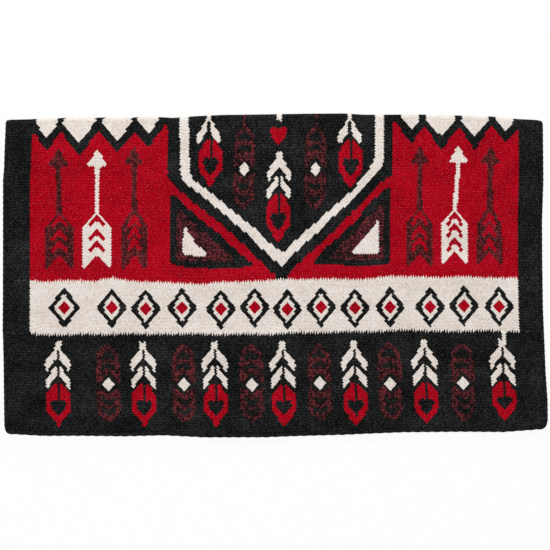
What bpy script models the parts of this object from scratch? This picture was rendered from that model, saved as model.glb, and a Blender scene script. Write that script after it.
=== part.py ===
"""A hand-woven wool saddle blanket, folded once over its spine and lying flat.

The cloth is one tapestry weave. Its warps are hidden and run from end to end, across
the fold. Each coloured area is woven with its own weft yarn, which turns back where it
meets the yarn of the next area, so each area is a piece of its own here, as thick as
the cloth. A cord runs along each selvedge and each end.

The near half is the one on top, and the off half lies under it. They show the same
pattern, mirrored about the fold. The near half turns about the outside of the fold.

A place on the cloth is given by three lengths: u across it to the right of its middle,
v along it from the fold, and w through it from its inner face, the one inside the fold.
"""

import math
from dataclasses import dataclass

import bmesh
import bpy
from mathutils import Vector

# The whole cloth
BLANKET_WIDTH = 0.864
BLANKET_LENGTH = 1.016
CLOTH_THICKNESS = 0.006
FOLD_GAP = 0.002
CORNER_RADIUS = 0.011
EDGE_CORD_WIDTH = 0.006

# Clearances between neighbouring yarns, and between the two halves at the hinge
YARN_CLEARANCE = 0.0003
HINGE_CLEARANCE = 0.0003

# The black border and the two bands across the end of each half
BORDER_WIDTH = 0.0385
END_BAND_DEPTH = 0.163
CREAM_BAND_DEPTH = 0.087

# The medallion in the middle, inside a cream line and a black line
MEDALLION_WIDTH = 0.330
MEDALLION_OFFSET = 0.0124
CREAM_LINE_WIDTH = 0.0155
CREAM_APEX_THICKNESS = 0.0215
BLACK_LINE_WIDTH = 0.0165
BLACK_APEX_THICKNESS = 0.0165
BLACK_LINE_FOOT_WIDTH = 0.018

# The toothed edge along the fold
TOOTH_DEPTH = 0.0385
ZIGZAG_DEPTH = 0.0215
PEAK_DEPTH = 0.0225

# The corner triangles, which the red shows round on all three sides
CORNER_SIDE_MARGIN = 0.0025
CORNER_BASE_MARGIN = 0.0200
CORNER_STRIPE_DEPTH = 0.0165
CORNER_BLACK_WIDTH = 0.0100
CORNER_MAROON_WIDTH = 0.0095

# The arrows in the red panels, which point at the fold
ARROW_TIP_MARGIN = 0.0270
ARROW_FOOT_MARGIN = 0.0175
ARROW_WIDTH_SHARE = 0.212
# The right edge of an arrow, as shares of half its width and of its length
ARROW_EDGE_SHARES = (
    (0, 0),
    (0.75, 0.134),
    (0.18, 0.134),
    (0.18, 0.534),
    (1.0, 0.654),
    (1.0, 1.0),
    (0, 0.874),
)

# How finely round stretches are divided
FOLD_STEPS = 6
CORNER_STEPS = 3
EDGE_ROUND_STEPS = 6

# Worked out from the sizes above
HALF_LENGTH = BLANKET_LENGTH / 2
INNER_RADIUS = FOLD_GAP / 2
OUTER_RADIUS = INNER_RADIUS + CLOTH_THICKNESS
FOLD_ARC = math.pi / 2 * (INNER_RADIUS + OUTER_RADIUS) / 2
FOLDED_DEPTH = HALF_LENGTH - FOLD_ARC + OUTER_RADIUS
FOLD_CENTRE_Y = FOLDED_DEPTH / 2 - OUTER_RADIUS
HINGE_Y = FOLDED_DEPTH / 2 + HINGE_CLEARANCE / 2
HINGE_Z = OUTER_RADIUS + HINGE_CLEARANCE / 2

BORDER_INSIDE = BLANKET_WIDTH / 2 - BORDER_WIDTH
END_BAND_START = HALF_LENGTH - END_BAND_DEPTH
CREAM_BAND_START = END_BAND_START - CREAM_BAND_DEPTH
CORNER_BASE = CREAM_BAND_START - CORNER_BASE_MARGIN
CREAM_LINE_APEX = CREAM_BAND_START - BLACK_APEX_THICKNESS
ARROW_TIP = PEAK_DEPTH + ARROW_TIP_MARGIN
ARROW_LENGTH = CREAM_BAND_START - ARROW_FOOT_MARGIN - ARROW_TIP
MEDALLION_HALF = MEDALLION_WIDTH / 2
# Each area is drawn past the fold by half a clearance, which its inset takes off again.
FOLD_EDGE = -YARN_CLEARANCE / 2


@dataclass(frozen=True)
class Yarn:
    """One dyed yarn: its name, its colour as linear red, green and blue, its roughness."""

    name: str
    colour: tuple
    roughness: float


BLACK = Yarn("black_wool", (0.012, 0.012, 0.013), 0.95)
RED = Yarn("red_wool", (0.42, 0.004, 0.012), 0.9)
CREAM = Yarn("cream_wool", (0.76, 0.68, 0.60), 0.9)
MAROON = Yarn("maroon_wool", (0.085, 0.013, 0.017), 0.95)


@dataclass(frozen=True)
class Side:
    """What differs between the left and right side of the pattern, as on a hand-woven cloth.

    Tooth, peak and arrow shares are of the red panel's width, from left to right, and
    of TOOTH_DEPTH or PEAK_DEPTH. A leg is the stretch of a line before it slants, and its
    share is of the way from the fold to the cream band.
    """

    name: str
    towards: int
    tooth_shares: tuple
    peak_shares: tuple
    arrow_shares: tuple
    cream_leg_share: float
    black_leg_share: float

    def line_edge(self, width):
        """The u of a vertical edge of the medallion's lines, width outside the medallion."""
        return MEDALLION_OFFSET + self.towards * (MEDALLION_HALF + width)

    def panel_span(self):
        """The left and right u of the red panel."""
        return sorted((self.towards * BORDER_INSIDE, self.line_edge(BLACK_LINE_WIDTH)))

    def panel_width(self):
        left, right = self.panel_span()
        return right - left

    def across(self, share):
        """The u at a share of the red panel's width."""
        return self.panel_span()[0] + share * self.panel_width()

    def teeth(self):
        """Each cream tooth as its start, tip and end."""
        return [
            (
                (self.across(start), FOLD_EDGE),
                (self.across(tip), depth * TOOTH_DEPTH),
                (self.across(end), FOLD_EDGE),
            )
            for start, tip, end, depth in self.tooth_shares
        ]

    def zigzag(self):
        """The line where black meets red, from the panel's left edge to its right edge."""
        peaks = [(self.across(share), depth * PEAK_DEPTH) for share, depth in self.peak_shares]
        tips = [(tip[0], tip[1] + ZIGZAG_DEPTH) for _, tip, _ in self.teeth()]
        left, right = self.panel_span()
        line = [(left, peaks[0][1])]
        for peak, tip in zip(peaks, tips):
            line += [peak, tip]
        line += [peaks[-1], (right, peaks[-1][1])]
        return [point for point, last in zip(line, [None] + line) if point != last]


LEFT = Side(
    name="left",
    towards=-1,
    tooth_shares=(
        (0.047, 0.126, 0.204, 0.78),
        (0.237, 0.366, 0.477, 1.0),
        (0.518, 0.629, 0.737, 0.95),
        (0.783, 0.861, 0.935, 0.70),
    ),
    peak_shares=((0.010, 1.0), (0.229, 1.0), (0.494, 0.96), (0.762, 1.0), (0.990, 0.45)),
    arrow_shares=(0.219, 0.491, 0.753),
    cream_leg_share=0.374,
    black_leg_share=0.391,
)
RIGHT = Side(
    name="right",
    towards=1,
    tooth_shares=(
        (0.065, 0.152, 0.211, 0.50),
        (0.261, 0.390, 0.504, 0.79),
        (0.554, 0.655, 0.769, 0.85),
        (0.820, 0.897, 0.966, 0.59),
    ),
    peak_shares=((0.010, 0.22), (0.253, 0.60), (0.531, 0.72), (0.783, 0.65), (1.0, 0.78)),
    arrow_shares=(0.226, 0.515, 0.785),
    cream_leg_share=0.302,
    black_leg_share=0.372,
)
ARROW_YARNS = (MAROON, CREAM, MAROON)


@dataclass(frozen=True)
class Half:
    """One half of the folded cloth: which way up it lies, and the empty that carries it."""

    name: str
    up: int
    carrier: object

    def place(self, u, v, w):
        """The point of the folded cloth at u across, v from the fold, w from the inner face."""
        radius = INNER_RADIUS + w
        angle = math.pi / 2 * min(v / FOLD_ARC, 1)
        y = FOLD_CENTRE_Y + radius * math.cos(angle) - max(v - FOLD_ARC, 0)
        rise = HINGE_CLEARANCE / 2 + radius * math.sin(angle)
        return Vector((u, y, HINGE_Z + self.up * rise))


def clear_scene():
    for item in list(bpy.data.objects):
        bpy.data.objects.remove(item, do_unlink=True)


def yarn_material(yarn):
    """The Principled material of a yarn, made once."""
    material = bpy.data.materials.get(yarn.name)
    if material is None:
        material = bpy.data.materials.new(yarn.name)
        material.use_nodes = True
        shader = material.node_tree.nodes["Principled BSDF"]
        shader.inputs["Base Color"].default_value = (*yarn.colour, 1)
        shader.inputs["Roughness"].default_value = yarn.roughness
        shader.inputs["Metallic"].default_value = 0
    return material


def add_empty(name, location):
    empty = bpy.data.objects.new(name, None)
    empty.location = location
    bpy.context.scene.collection.objects.link(empty)
    return empty


def signed_area(ring):
    """Positive where the ring turns left."""
    pairs = zip(ring, ring[1:] + ring[:1])
    return sum(a[0] * b[1] - b[0] * a[1] for a, b in pairs) / 2


def inset_ring(ring, distance, hole=False):
    """The ring with each edge moved into the material: inwards, or outwards for a hole."""
    if (signed_area(ring) > 0) == hole:
        ring = ring[::-1]
    moved = []
    for before, here, after in zip(ring[-1:] + ring[:-1], ring, ring[1:] + ring[:1]):
        came = (Vector(here) - Vector(before)).normalized()
        goes = (Vector(after) - Vector(here)).normalized()
        first = Vector((-came.y, came.x))
        second = Vector((-goes.y, goes.x))
        moved.append(Vector(here) + (first + second) * distance / (1 + first.dot(second)))
    return moved


def cut_fold_rows(shape):
    """Divides a flat shape at the rows where the fold bends."""
    for step in range(1, FOLD_STEPS + 1):
        row = FOLD_ARC * step / FOLD_STEPS
        everything = shape.verts[:] + shape.edges[:] + shape.faces[:]
        bmesh.ops.bisect_plane(
            shape, geom=everything, plane_co=(0, row, 0), plane_no=(0, 1, 0)
        )


def split_fold_walls(shape):
    """Splits the walls that the bend will twist, all along the same diagonal.

    Two areas that meet along a slanted line then keep their clearance round the fold.
    """
    shape.normal_update()
    for face in shape.faces[:]:
        slanted = abs(face.normal.x * face.normal.y) > 0 and abs(face.normal.z) < abs(face.normal.x)
        if not slanted or min(vert.co.y for vert in face.verts) >= FOLD_ARC:
            continue
        lowest = min(face.verts, key=lambda vert: vert.co.y + vert.co.z)
        highest = max(face.verts, key=lambda vert: vert.co.y + vert.co.z)
        bmesh.utils.face_split(face, lowest, highest)


def fold_into_object(name, shape, half, yarn):
    """Bends a flat shape over the fold and links it as an object on the half's carrier."""
    cut_fold_rows(shape)
    split_fold_walls(shape)
    origin = half.carrier.location
    for vert in shape.verts:
        vert.co = half.place(*vert.co) - origin
    shape.normal_update()
    bmesh.ops.recalc_face_normals(shape, faces=shape.faces[:])
    if shape.calc_volume(signed=True) < 0:
        bmesh.ops.reverse_faces(shape, faces=shape.faces[:])
    mesh = bpy.data.meshes.new(name)
    shape.to_mesh(mesh)
    shape.free()
    mesh.materials.append(yarn_material(yarn))
    piece = bpy.data.objects.new(f"{half.name}_{name}", mesh)
    piece.parent = half.carrier
    bpy.context.scene.collection.objects.link(piece)
    return piece


def weave_area(name, ring, half, yarn, holes=()):
    """One woven area: its outline, less its holes, through the thickness of the cloth."""
    inset = YARN_CLEARANCE / 2
    rings = [inset_ring(ring, inset)]
    rings += [inset_ring(hole, inset, hole=True) for hole in holes]
    shape = bmesh.new()
    edges = []
    for points in rings:
        verts = [shape.verts.new((u, v, 0)) for u, v in points]
        edges += [shape.edges.new(pair) for pair in zip(verts, verts[1:] + verts[:1])]
    bmesh.ops.triangle_fill(shape, use_beauty=True, edges=edges)
    grown = bmesh.ops.extrude_face_region(shape, geom=shape.faces[:])
    top = [item for item in grown["geom"] if isinstance(item, bmesh.types.BMVert)]
    bmesh.ops.translate(shape, verts=top, vec=(0, 0, CLOTH_THICKNESS))
    return fold_into_object(name, shape, half, yarn)


def edge_profile():
    """A cord's section, as distances towards the outside and through the cloth."""
    radius = CLOTH_THICKNESS / 2
    flat = EDGE_CORD_WIDTH - radius
    points = [(0, 0)]
    for step in range(EDGE_ROUND_STEPS + 1):
        angle = math.pi * step / EDGE_ROUND_STEPS
        points.append((flat + radius * math.sin(angle), radius - radius * math.cos(angle)))
    points.append((0, CLOTH_THICKNESS))
    return points


def edge_cord(name, stations, half):
    """A cord along an edge. A station is a point on its inner side and the way outside."""
    shape = bmesh.new()
    loops = []
    for point, outwards in stations:
        loop = []
        for out, through in edge_profile():
            place = point + outwards * out
            loop.append(shape.verts.new((place.x, place.y, through)))
        loops.append(loop)
    for first, second in zip(loops, loops[1:]):
        count = len(first)
        for index in range(count):
            after = (index + 1) % count
            shape.faces.new((first[index], first[after], second[after], second[index]))
    shape.faces.new(loops[0])
    shape.faces.new(loops[-1][::-1])
    return fold_into_object(name, shape, half, BLACK)


def corner_station(side, angle):
    """A station on the rounded corner of a side, at an angle from straight across."""
    outwards = Vector((side.towards * math.cos(angle), math.sin(angle)))
    centre = Vector(
        (side.towards * (BLANKET_WIDTH / 2 - CORNER_RADIUS), HALF_LENGTH - CORNER_RADIUS)
    )
    return centre + outwards * (CORNER_RADIUS - EDGE_CORD_WIDTH), outwards


def corner_angles(start, end):
    return [start + (end - start) * step / CORNER_STEPS for step in range(CORNER_STEPS + 1)]


def selvedge_stations(side):
    """From the fold down the selvedge and half way round the corner."""
    outwards = Vector((side.towards, 0))
    inner = side.towards * (BLANKET_WIDTH / 2 - EDGE_CORD_WIDTH)
    clearance = YARN_CLEARANCE / (2 * CORNER_RADIUS - EDGE_CORD_WIDTH)
    stations = [(Vector((inner, 0)), outwards)]
    stations += [corner_station(side, a) for a in corner_angles(0, math.pi / 4 - clearance)]
    return stations


def end_stations():
    """Round the rest of the left corner, along the end, and into the right corner."""
    clearance = YARN_CLEARANCE / (2 * CORNER_RADIUS - EDGE_CORD_WIDTH)
    angles = corner_angles(math.pi / 4 + clearance, math.pi / 2)
    stations = [corner_station(LEFT, angle) for angle in angles]
    stations += [corner_station(RIGHT, angle) for angle in angles[::-1]]
    return stations


def border_ring():
    """The black border down both sides and across the end, which is one woven area."""
    outside = BLANKET_WIDTH / 2 - EDGE_CORD_WIDTH - YARN_CLEARANCE / 2
    radius = CORNER_RADIUS - EDGE_CORD_WIDTH - YARN_CLEARANCE / 2
    centre_v = HALF_LENGTH - CORNER_RADIUS
    ring = [(-BORDER_INSIDE, FOLD_EDGE), (-outside, FOLD_EDGE)]
    for side, angles in (
        (LEFT, corner_angles(0, math.pi / 2)),
        (RIGHT, corner_angles(math.pi / 2, 0)),
    ):
        centre_u = side.towards * (BLANKET_WIDTH / 2 - CORNER_RADIUS)
        ring += [
            (
                centre_u + side.towards * radius * math.cos(angle),
                centre_v + radius * math.sin(angle),
            )
            for angle in angles
        ]
    ring += [(outside, FOLD_EDGE), (BORDER_INSIDE, FOLD_EDGE)]
    ring += [(BORDER_INSIDE, END_BAND_START), (-BORDER_INSIDE, END_BAND_START)]
    return ring


def cream_band_ring():
    return [
        (-BORDER_INSIDE, CREAM_BAND_START),
        (BORDER_INSIDE, CREAM_BAND_START),
        (BORDER_INSIDE, END_BAND_START),
        (-BORDER_INSIDE, END_BAND_START),
    ]


def cream_line_bend(side):
    """The v where the cream line's outer edge starts to slant."""
    return side.cream_leg_share * CREAM_BAND_START


def cream_line_outside():
    """The outer edge of the cream line, from the fold on the left to the fold on the right."""
    return [
        (LEFT.line_edge(0), FOLD_EDGE),
        (LEFT.line_edge(0), cream_line_bend(LEFT)),
        (MEDALLION_OFFSET, CREAM_LINE_APEX),
        (RIGHT.line_edge(0), cream_line_bend(RIGHT)),
        (RIGHT.line_edge(0), FOLD_EDGE),
    ]


def medallion_ring():
    """The black field inside the cream line, whose bends sit a little higher than outside."""
    rise = CREAM_APEX_THICKNESS - CREAM_LINE_WIDTH
    return [
        (LEFT.line_edge(-CREAM_LINE_WIDTH), FOLD_EDGE),
        (LEFT.line_edge(-CREAM_LINE_WIDTH), cream_line_bend(LEFT) - rise),
        (MEDALLION_OFFSET, CREAM_LINE_APEX - CREAM_APEX_THICKNESS),
        (RIGHT.line_edge(-CREAM_LINE_WIDTH), cream_line_bend(RIGHT) - rise),
        (RIGHT.line_edge(-CREAM_LINE_WIDTH), FOLD_EDGE),
    ]


def black_line_foot(side):
    """Where the black line's outer edge meets the cream band."""
    return (MEDALLION_OFFSET + side.towards * BLACK_LINE_FOOT_WIDTH / 2, CREAM_BAND_START)


def black_line_bend(side):
    """Where the black line's outer edge starts to slant."""
    return (side.line_edge(BLACK_LINE_WIDTH), side.black_leg_share * CREAM_BAND_START)


def black_line_ring():
    """The black line round the medallion, which runs on as a zigzag to each border."""
    ring = [(-BORDER_INSIDE, FOLD_EDGE)]
    for tooth in LEFT.teeth():
        ring += tooth
    ring += cream_line_outside()
    for tooth in RIGHT.teeth():
        ring += tooth
    ring += [(BORDER_INSIDE, FOLD_EDGE)]
    ring += RIGHT.zigzag()[::-1]
    ring += [black_line_bend(RIGHT), black_line_foot(RIGHT)]
    ring += [black_line_foot(LEFT), black_line_bend(LEFT)]
    ring += LEFT.zigzag()[::-1]
    return ring


def red_panel_ring(side):
    """The red panel, its stripe beside the black line, and its foot along the cream band."""
    ring = side.zigzag()
    inner = [black_line_bend(side), black_line_foot(side)]
    border = [(side.towards * BORDER_INSIDE, CREAM_BAND_START)]
    if side.towards < 0:
        return ring + inner + border
    return ring + border + inner[::-1]


def triangle_inside(ring, width):
    """A triangle whose edges lie a width inside another's."""
    return [tuple(point) for point in inset_ring(ring, width)]


def corner_rings(side):
    """The corner triangle's three outlines: black, maroon and cream.

    Its long side is parallel to the black line, with a red stripe between them.
    """
    bend_u, bend_v = black_line_bend(side)
    foot_u, foot_v = black_line_foot(side)
    slope = (foot_v - bend_v) / (foot_u - bend_u)
    outer = bend_u - side.towards * CORNER_SIDE_MARGIN
    top = bend_v + (outer - bend_u) * slope + CORNER_STRIPE_DEPTH
    inner = outer + (CORNER_BASE - top) / slope
    black = [(outer, top), (outer, CORNER_BASE), (inner, CORNER_BASE)]
    maroon = triangle_inside(black, CORNER_BLACK_WIDTH)
    return black, maroon, triangle_inside(maroon, CORNER_MAROON_WIDTH)


def arrow_ring(side, share):
    """An arrow at a share of a panel's width, with its fletching at the foot."""
    centre = side.across(share)
    half_width = ARROW_WIDTH_SHARE * side.panel_width() / 2
    mirrored = [(-out, down) for out, down in ARROW_EDGE_SHARES[-2:0:-1]]
    return [
        (centre + out * half_width, ARROW_TIP + down * ARROW_LENGTH)
        for out, down in (*ARROW_EDGE_SHARES, *mirrored)
    ]


def build_edges(half):
    for side in (LEFT, RIGHT):
        edge_cord(f"selvedge_cord_{side.name}", selvedge_stations(side), half)
    edge_cord("end_cord", end_stations(), half)


def build_bands(half):
    weave_area("border", border_ring(), half, BLACK)
    weave_area("cream_band", cream_band_ring(), half, CREAM)


def build_medallion(half):
    weave_area("medallion_field", medallion_ring(), half, BLACK)
    line = cream_line_outside() + medallion_ring()[::-1]
    weave_area("cream_line", line, half, CREAM)
    weave_area("black_line", black_line_ring(), half, BLACK)


def build_side(side, half):
    """A red panel with what is set into it: three arrows and a corner triangle."""
    arrows = [arrow_ring(side, share) for share in side.arrow_shares]
    black, maroon, cream = corner_rings(side)
    panel = red_panel_ring(side)
    weave_area(f"red_panel_{side.name}", panel, half, RED, holes=[black, *arrows])
    for number, (ring, yarn) in enumerate(zip(arrows, ARROW_YARNS), start=1):
        weave_area(f"arrow_{side.name}_{number}", ring, half, yarn)
    weave_area(f"corner_{side.name}_black", black, half, BLACK, holes=[maroon])
    weave_area(f"corner_{side.name}_maroon", maroon, half, MAROON, holes=[cream])
    weave_area(f"corner_{side.name}_cream", cream, half, CREAM)
    for number, tooth in enumerate(side.teeth(), start=1):
        weave_area(f"tooth_{side.name}_{number}", list(tooth), half, CREAM)


def build_half(half):
    build_edges(half)
    build_bands(half)
    build_medallion(half)
    for side in (LEFT, RIGHT):
        build_side(side, half)


def main():
    clear_scene()
    base = add_empty("off_half", (0, 0, 0))
    hinge = add_empty("near_half", (0, HINGE_Y, HINGE_Z))
    build_half(Half("off", -1, base))
    build_half(Half("near", 1, hinge))


if __name__ == "__main__":
    main()
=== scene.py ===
"""A hand-woven wool saddle blanket, folded once over its spine, dressed on its CAD frame.

The cloth is a weft-faced tapestry. Its hidden cotton warps run from end to end and lift the
weft into ribs, and each coloured area is woven with its own wool yarn, which turns back where
the next area begins. So the areas are separate pieces here: one cloth grid is cut along the
turns, and each cut piece is given its thickness, its bumps and its yarn.

A place on the cloth is given in millimetres: u across it to the right of its middle, v along
it from the fold, positive on the near half, which lies on top, and negative on the off half,
and w through it from its inner face. The pattern is drawn in pixels of the photograph.
"""

import logging  # noqa: E402
import math  # noqa: E402
from collections.abc import Iterator  # noqa: E402
from contextlib import contextmanager  # noqa: E402
from dataclasses import dataclass, field  # noqa: E402
from enum import Enum  # noqa: E402

import bpy  # noqa: E402
import numpy as np  # noqa: E402
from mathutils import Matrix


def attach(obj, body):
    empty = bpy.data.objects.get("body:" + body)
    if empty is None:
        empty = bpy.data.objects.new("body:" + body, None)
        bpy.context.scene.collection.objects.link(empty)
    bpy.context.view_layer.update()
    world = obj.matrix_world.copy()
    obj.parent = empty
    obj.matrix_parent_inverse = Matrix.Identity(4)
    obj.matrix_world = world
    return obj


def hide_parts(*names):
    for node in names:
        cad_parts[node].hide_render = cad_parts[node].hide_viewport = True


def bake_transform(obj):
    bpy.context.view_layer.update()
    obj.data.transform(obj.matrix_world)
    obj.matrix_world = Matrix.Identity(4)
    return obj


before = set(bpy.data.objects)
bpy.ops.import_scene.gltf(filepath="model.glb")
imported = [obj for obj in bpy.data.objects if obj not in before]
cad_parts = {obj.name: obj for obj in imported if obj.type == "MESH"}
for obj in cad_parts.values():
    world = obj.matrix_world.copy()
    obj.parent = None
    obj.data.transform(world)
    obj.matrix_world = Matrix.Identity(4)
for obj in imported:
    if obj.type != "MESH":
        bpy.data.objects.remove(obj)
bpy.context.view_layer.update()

LOG = logging.getLogger("saddle_blanket")
MM = 0.001
# The period of a wave texture of scale 1
WAVE_PERIOD = 0.314

Points = list[tuple[float, float]]
Line = tuple[tuple[float, float], ...]
Socket = bpy.types.NodeSocket


class Yarn(Enum):
    """The wools of the weft. The two maroons, one duller, share a slot of the record."""

    BLACK = "black_wool"
    RED = "red_wool"
    CREAM = "cream_wool"
    MAROON = "maroon_wool"
    DULL_MAROON = "dull_maroon_wool"

    @property
    def slot(self) -> str:
        """The yarn's slot in the record."""
        return self.value.removeprefix("dull_")


class Carry(Enum):
    """How a woven area is built: each half its own copy, which rides on that half, or one piece
    over the fold.
    """

    EACH_HALF = "each half"
    OVER_FOLD = "over the fold"


class Half(Enum):
    """The halves of the folded blanket. The near one lies on top."""

    NEAR = "near"
    OFF = "off"

    @property
    def body(self) -> str:
        """The CAD body that the half rides on."""
        return f"{self.value}_half"


class FeatherRow(Enum):
    """A row of feathers, named for where it is woven in."""

    BAND = "band"
    MEDALLION = "medallion"

    @property
    def ground(self) -> str:
        """The area round the row's feathers."""
        return "end_band" if self is FeatherRow.BAND else "medallion_field"


def linear(colour: str) -> tuple[float, float, float, float]:
    """Turn an sRGB hex colour into a linear one.

    Args:
        colour: Six hex digits, such as "DED3C9".

    Returns:
        Red, green, blue and an alpha of 1.
    """
    shares = [int(colour[i : i + 2], 16) / 255 for i in (0, 2, 4)]
    red, green, blue = (
        c / 12.92 if c <= 0.04045 else ((c + 0.055) / 1.055) ** 2.4 for c in shares
    )
    return red, green, blue, 1.0


def add_node(
    tree: bpy.types.NodeTree,
    kind: str,
    settings: dict[str, object] | None = None,
    values: dict[str | int, object] | None = None,
    links: dict[str | int, Socket] | None = None,
) -> bpy.types.Node:
    """Add one node with its settings, its fixed inputs and its links.

    Args:
        tree: The node tree that gets the node.
        kind: The node's type, such as "ShaderNodeTexNoise".
        settings: Properties of the node by name.
        values: Fixed values of its inputs, by name or number.
        links: Outputs of other nodes that feed its inputs, by name or number.

    Returns:
        The new node.
    """
    node = tree.nodes.new(kind)
    for name, value in (settings or {}).items():
        setattr(node, name, value)
    for key, value in (values or {}).items():
        node.inputs[key].default_value = value
    for key, socket in (links or {}).items():
        tree.links.new(socket, node.inputs[key])
    return node


@dataclass(frozen=True)
class WeaveMap:
    """A material's node tree, and the place on its piece's weave map in millimetres.

    On the map x runs along the weft and y along the warps, and all ribs and rows are alike.
    """

    tree: bpy.types.NodeTree
    place: Socket

    @classmethod
    def start(cls, material: bpy.types.Material) -> "WeaveMap":
        """Empty a material's node tree and read the weave map into it.

        Args:
            material: A new material.

        Returns:
            Its tree and place.
        """
        material.use_nodes = True
        tree = material.node_tree
        tree.nodes.clear()
        weave = add_node(tree, "ShaderNodeUVMap", {"uv_map": "weave"})
        place = add_node(
            tree, "ShaderNodeMapping", values={"Scale": (1 / MM, 1 / MM, 1 / MM)},
            links={"Vector": weave.outputs["UV"]},
        )
        return cls(tree, place.outputs["Vector"])

    def surface(self, values: dict[str, object], links: dict[str, Socket]) -> None:
        """Close the tree with its shader and the material's output."""
        shader = add_node(self.tree, "ShaderNodeBsdfPrincipled", {}, values, links)
        add_node(self.tree, "ShaderNodeOutputMaterial", links={"Surface": shader.outputs["BSDF"]})

    def noise(self, along_mm: float, across_mm: float, detail: float) -> Socket:
        """Add a noise whose grains have a real size.

        Args:
            along_mm: The grains' length along the weft.
            across_mm: Their height along the warps.
            detail: How many finer layers it holds.

        Returns:
            The noise from 0 to 1.
        """
        sized = add_node(
            self.tree, "ShaderNodeMapping", values={"Scale": (1 / along_mm, 1 / across_mm, 1.0)},
            links={"Vector": self.place},
        )
        noise = add_node(
            self.tree, "ShaderNodeTexNoise", {"noise_dimensions": "2D"},
            {"Scale": 1.0, "Detail": detail, "Roughness": 0.6},
            {"Vector": sized.outputs["Vector"]},
        )
        return noise.outputs["Fac"]

    def wave(self, axis: str, pitch_mm: float, shape: str) -> Socket:
        """Add a wave that changes its sign once in every pitch.

        Args:
            axis: "X" along the weft or "Y" along the warps.
            pitch_mm: Half the wave's length.
            shape: "SINE" or "COSINE".

        Returns:
            The wave from -1 to 1.
        """
        parts = add_node(self.tree, "ShaderNodeSeparateXYZ", links={"Vector": self.place})
        turn = add_node(
            self.tree, "ShaderNodeMath", {"operation": "MULTIPLY"}, {1: math.pi / pitch_mm},
            {0: parts.outputs[axis]},
        )
        wave = add_node(
            self.tree, "ShaderNodeMath", {"operation": shape}, links={0: turn.outputs[0]}
        )
        return wave.outputs[0]

    def shaded(self) -> list[Socket]:
        """Find where less light reaches the yarn.

        Returns:
            1 in the hollows where four bumps meet, and 1 in the grooves between two passes.
        """
        both = add_node(
            self.tree, "ShaderNodeMath", {"operation": "MULTIPLY"},
            links={
                0: self.wave("X", WEAVE.rib_mm, "COSINE"),
                1: self.wave("Y", WEAVE.row_mm, "COSINE"),
            },
        )
        found = []
        for value, start, end in (
            (both.outputs[0], 0.1, -1.0),
            (self.wave("Y", WEAVE.row_mm, "SINE"), -0.2, 1.0),
        ):
            eased = add_node(
                self.tree, "ShaderNodeMapRange", {"interpolation_type": "SMOOTHSTEP"},
                {"From Min": start, "From Max": end}, {"Value": value},
            )
            found.append(eased.outputs["Result"])
        return found

    def single_bumps(self) -> Socket:
        """Give each bump a shade of its own, on the lattice turned by an eighth of a turn.

        Returns:
            A colour that stands for a number from 0 to 1, the same all over a bump.
        """
        across, along = (1 / (math.sqrt(2) * size) for size in (WEAVE.rib_mm, WEAVE.row_mm))
        turned = add_node(
            self.tree, "ShaderNodeMapping",
            values={"Rotation": (0.0, 0.0, math.pi / 4), "Scale": (across, along, 1.0)},
            links={"Vector": self.place},
        )
        cells = add_node(
            self.tree, "ShaderNodeTexVoronoi", {"voronoi_dimensions": "2D"},
            {"Scale": 1.0, "Randomness": 0.0}, {"Vector": turned.outputs["Vector"]},
        )
        return cells.outputs["Color"]


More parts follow.
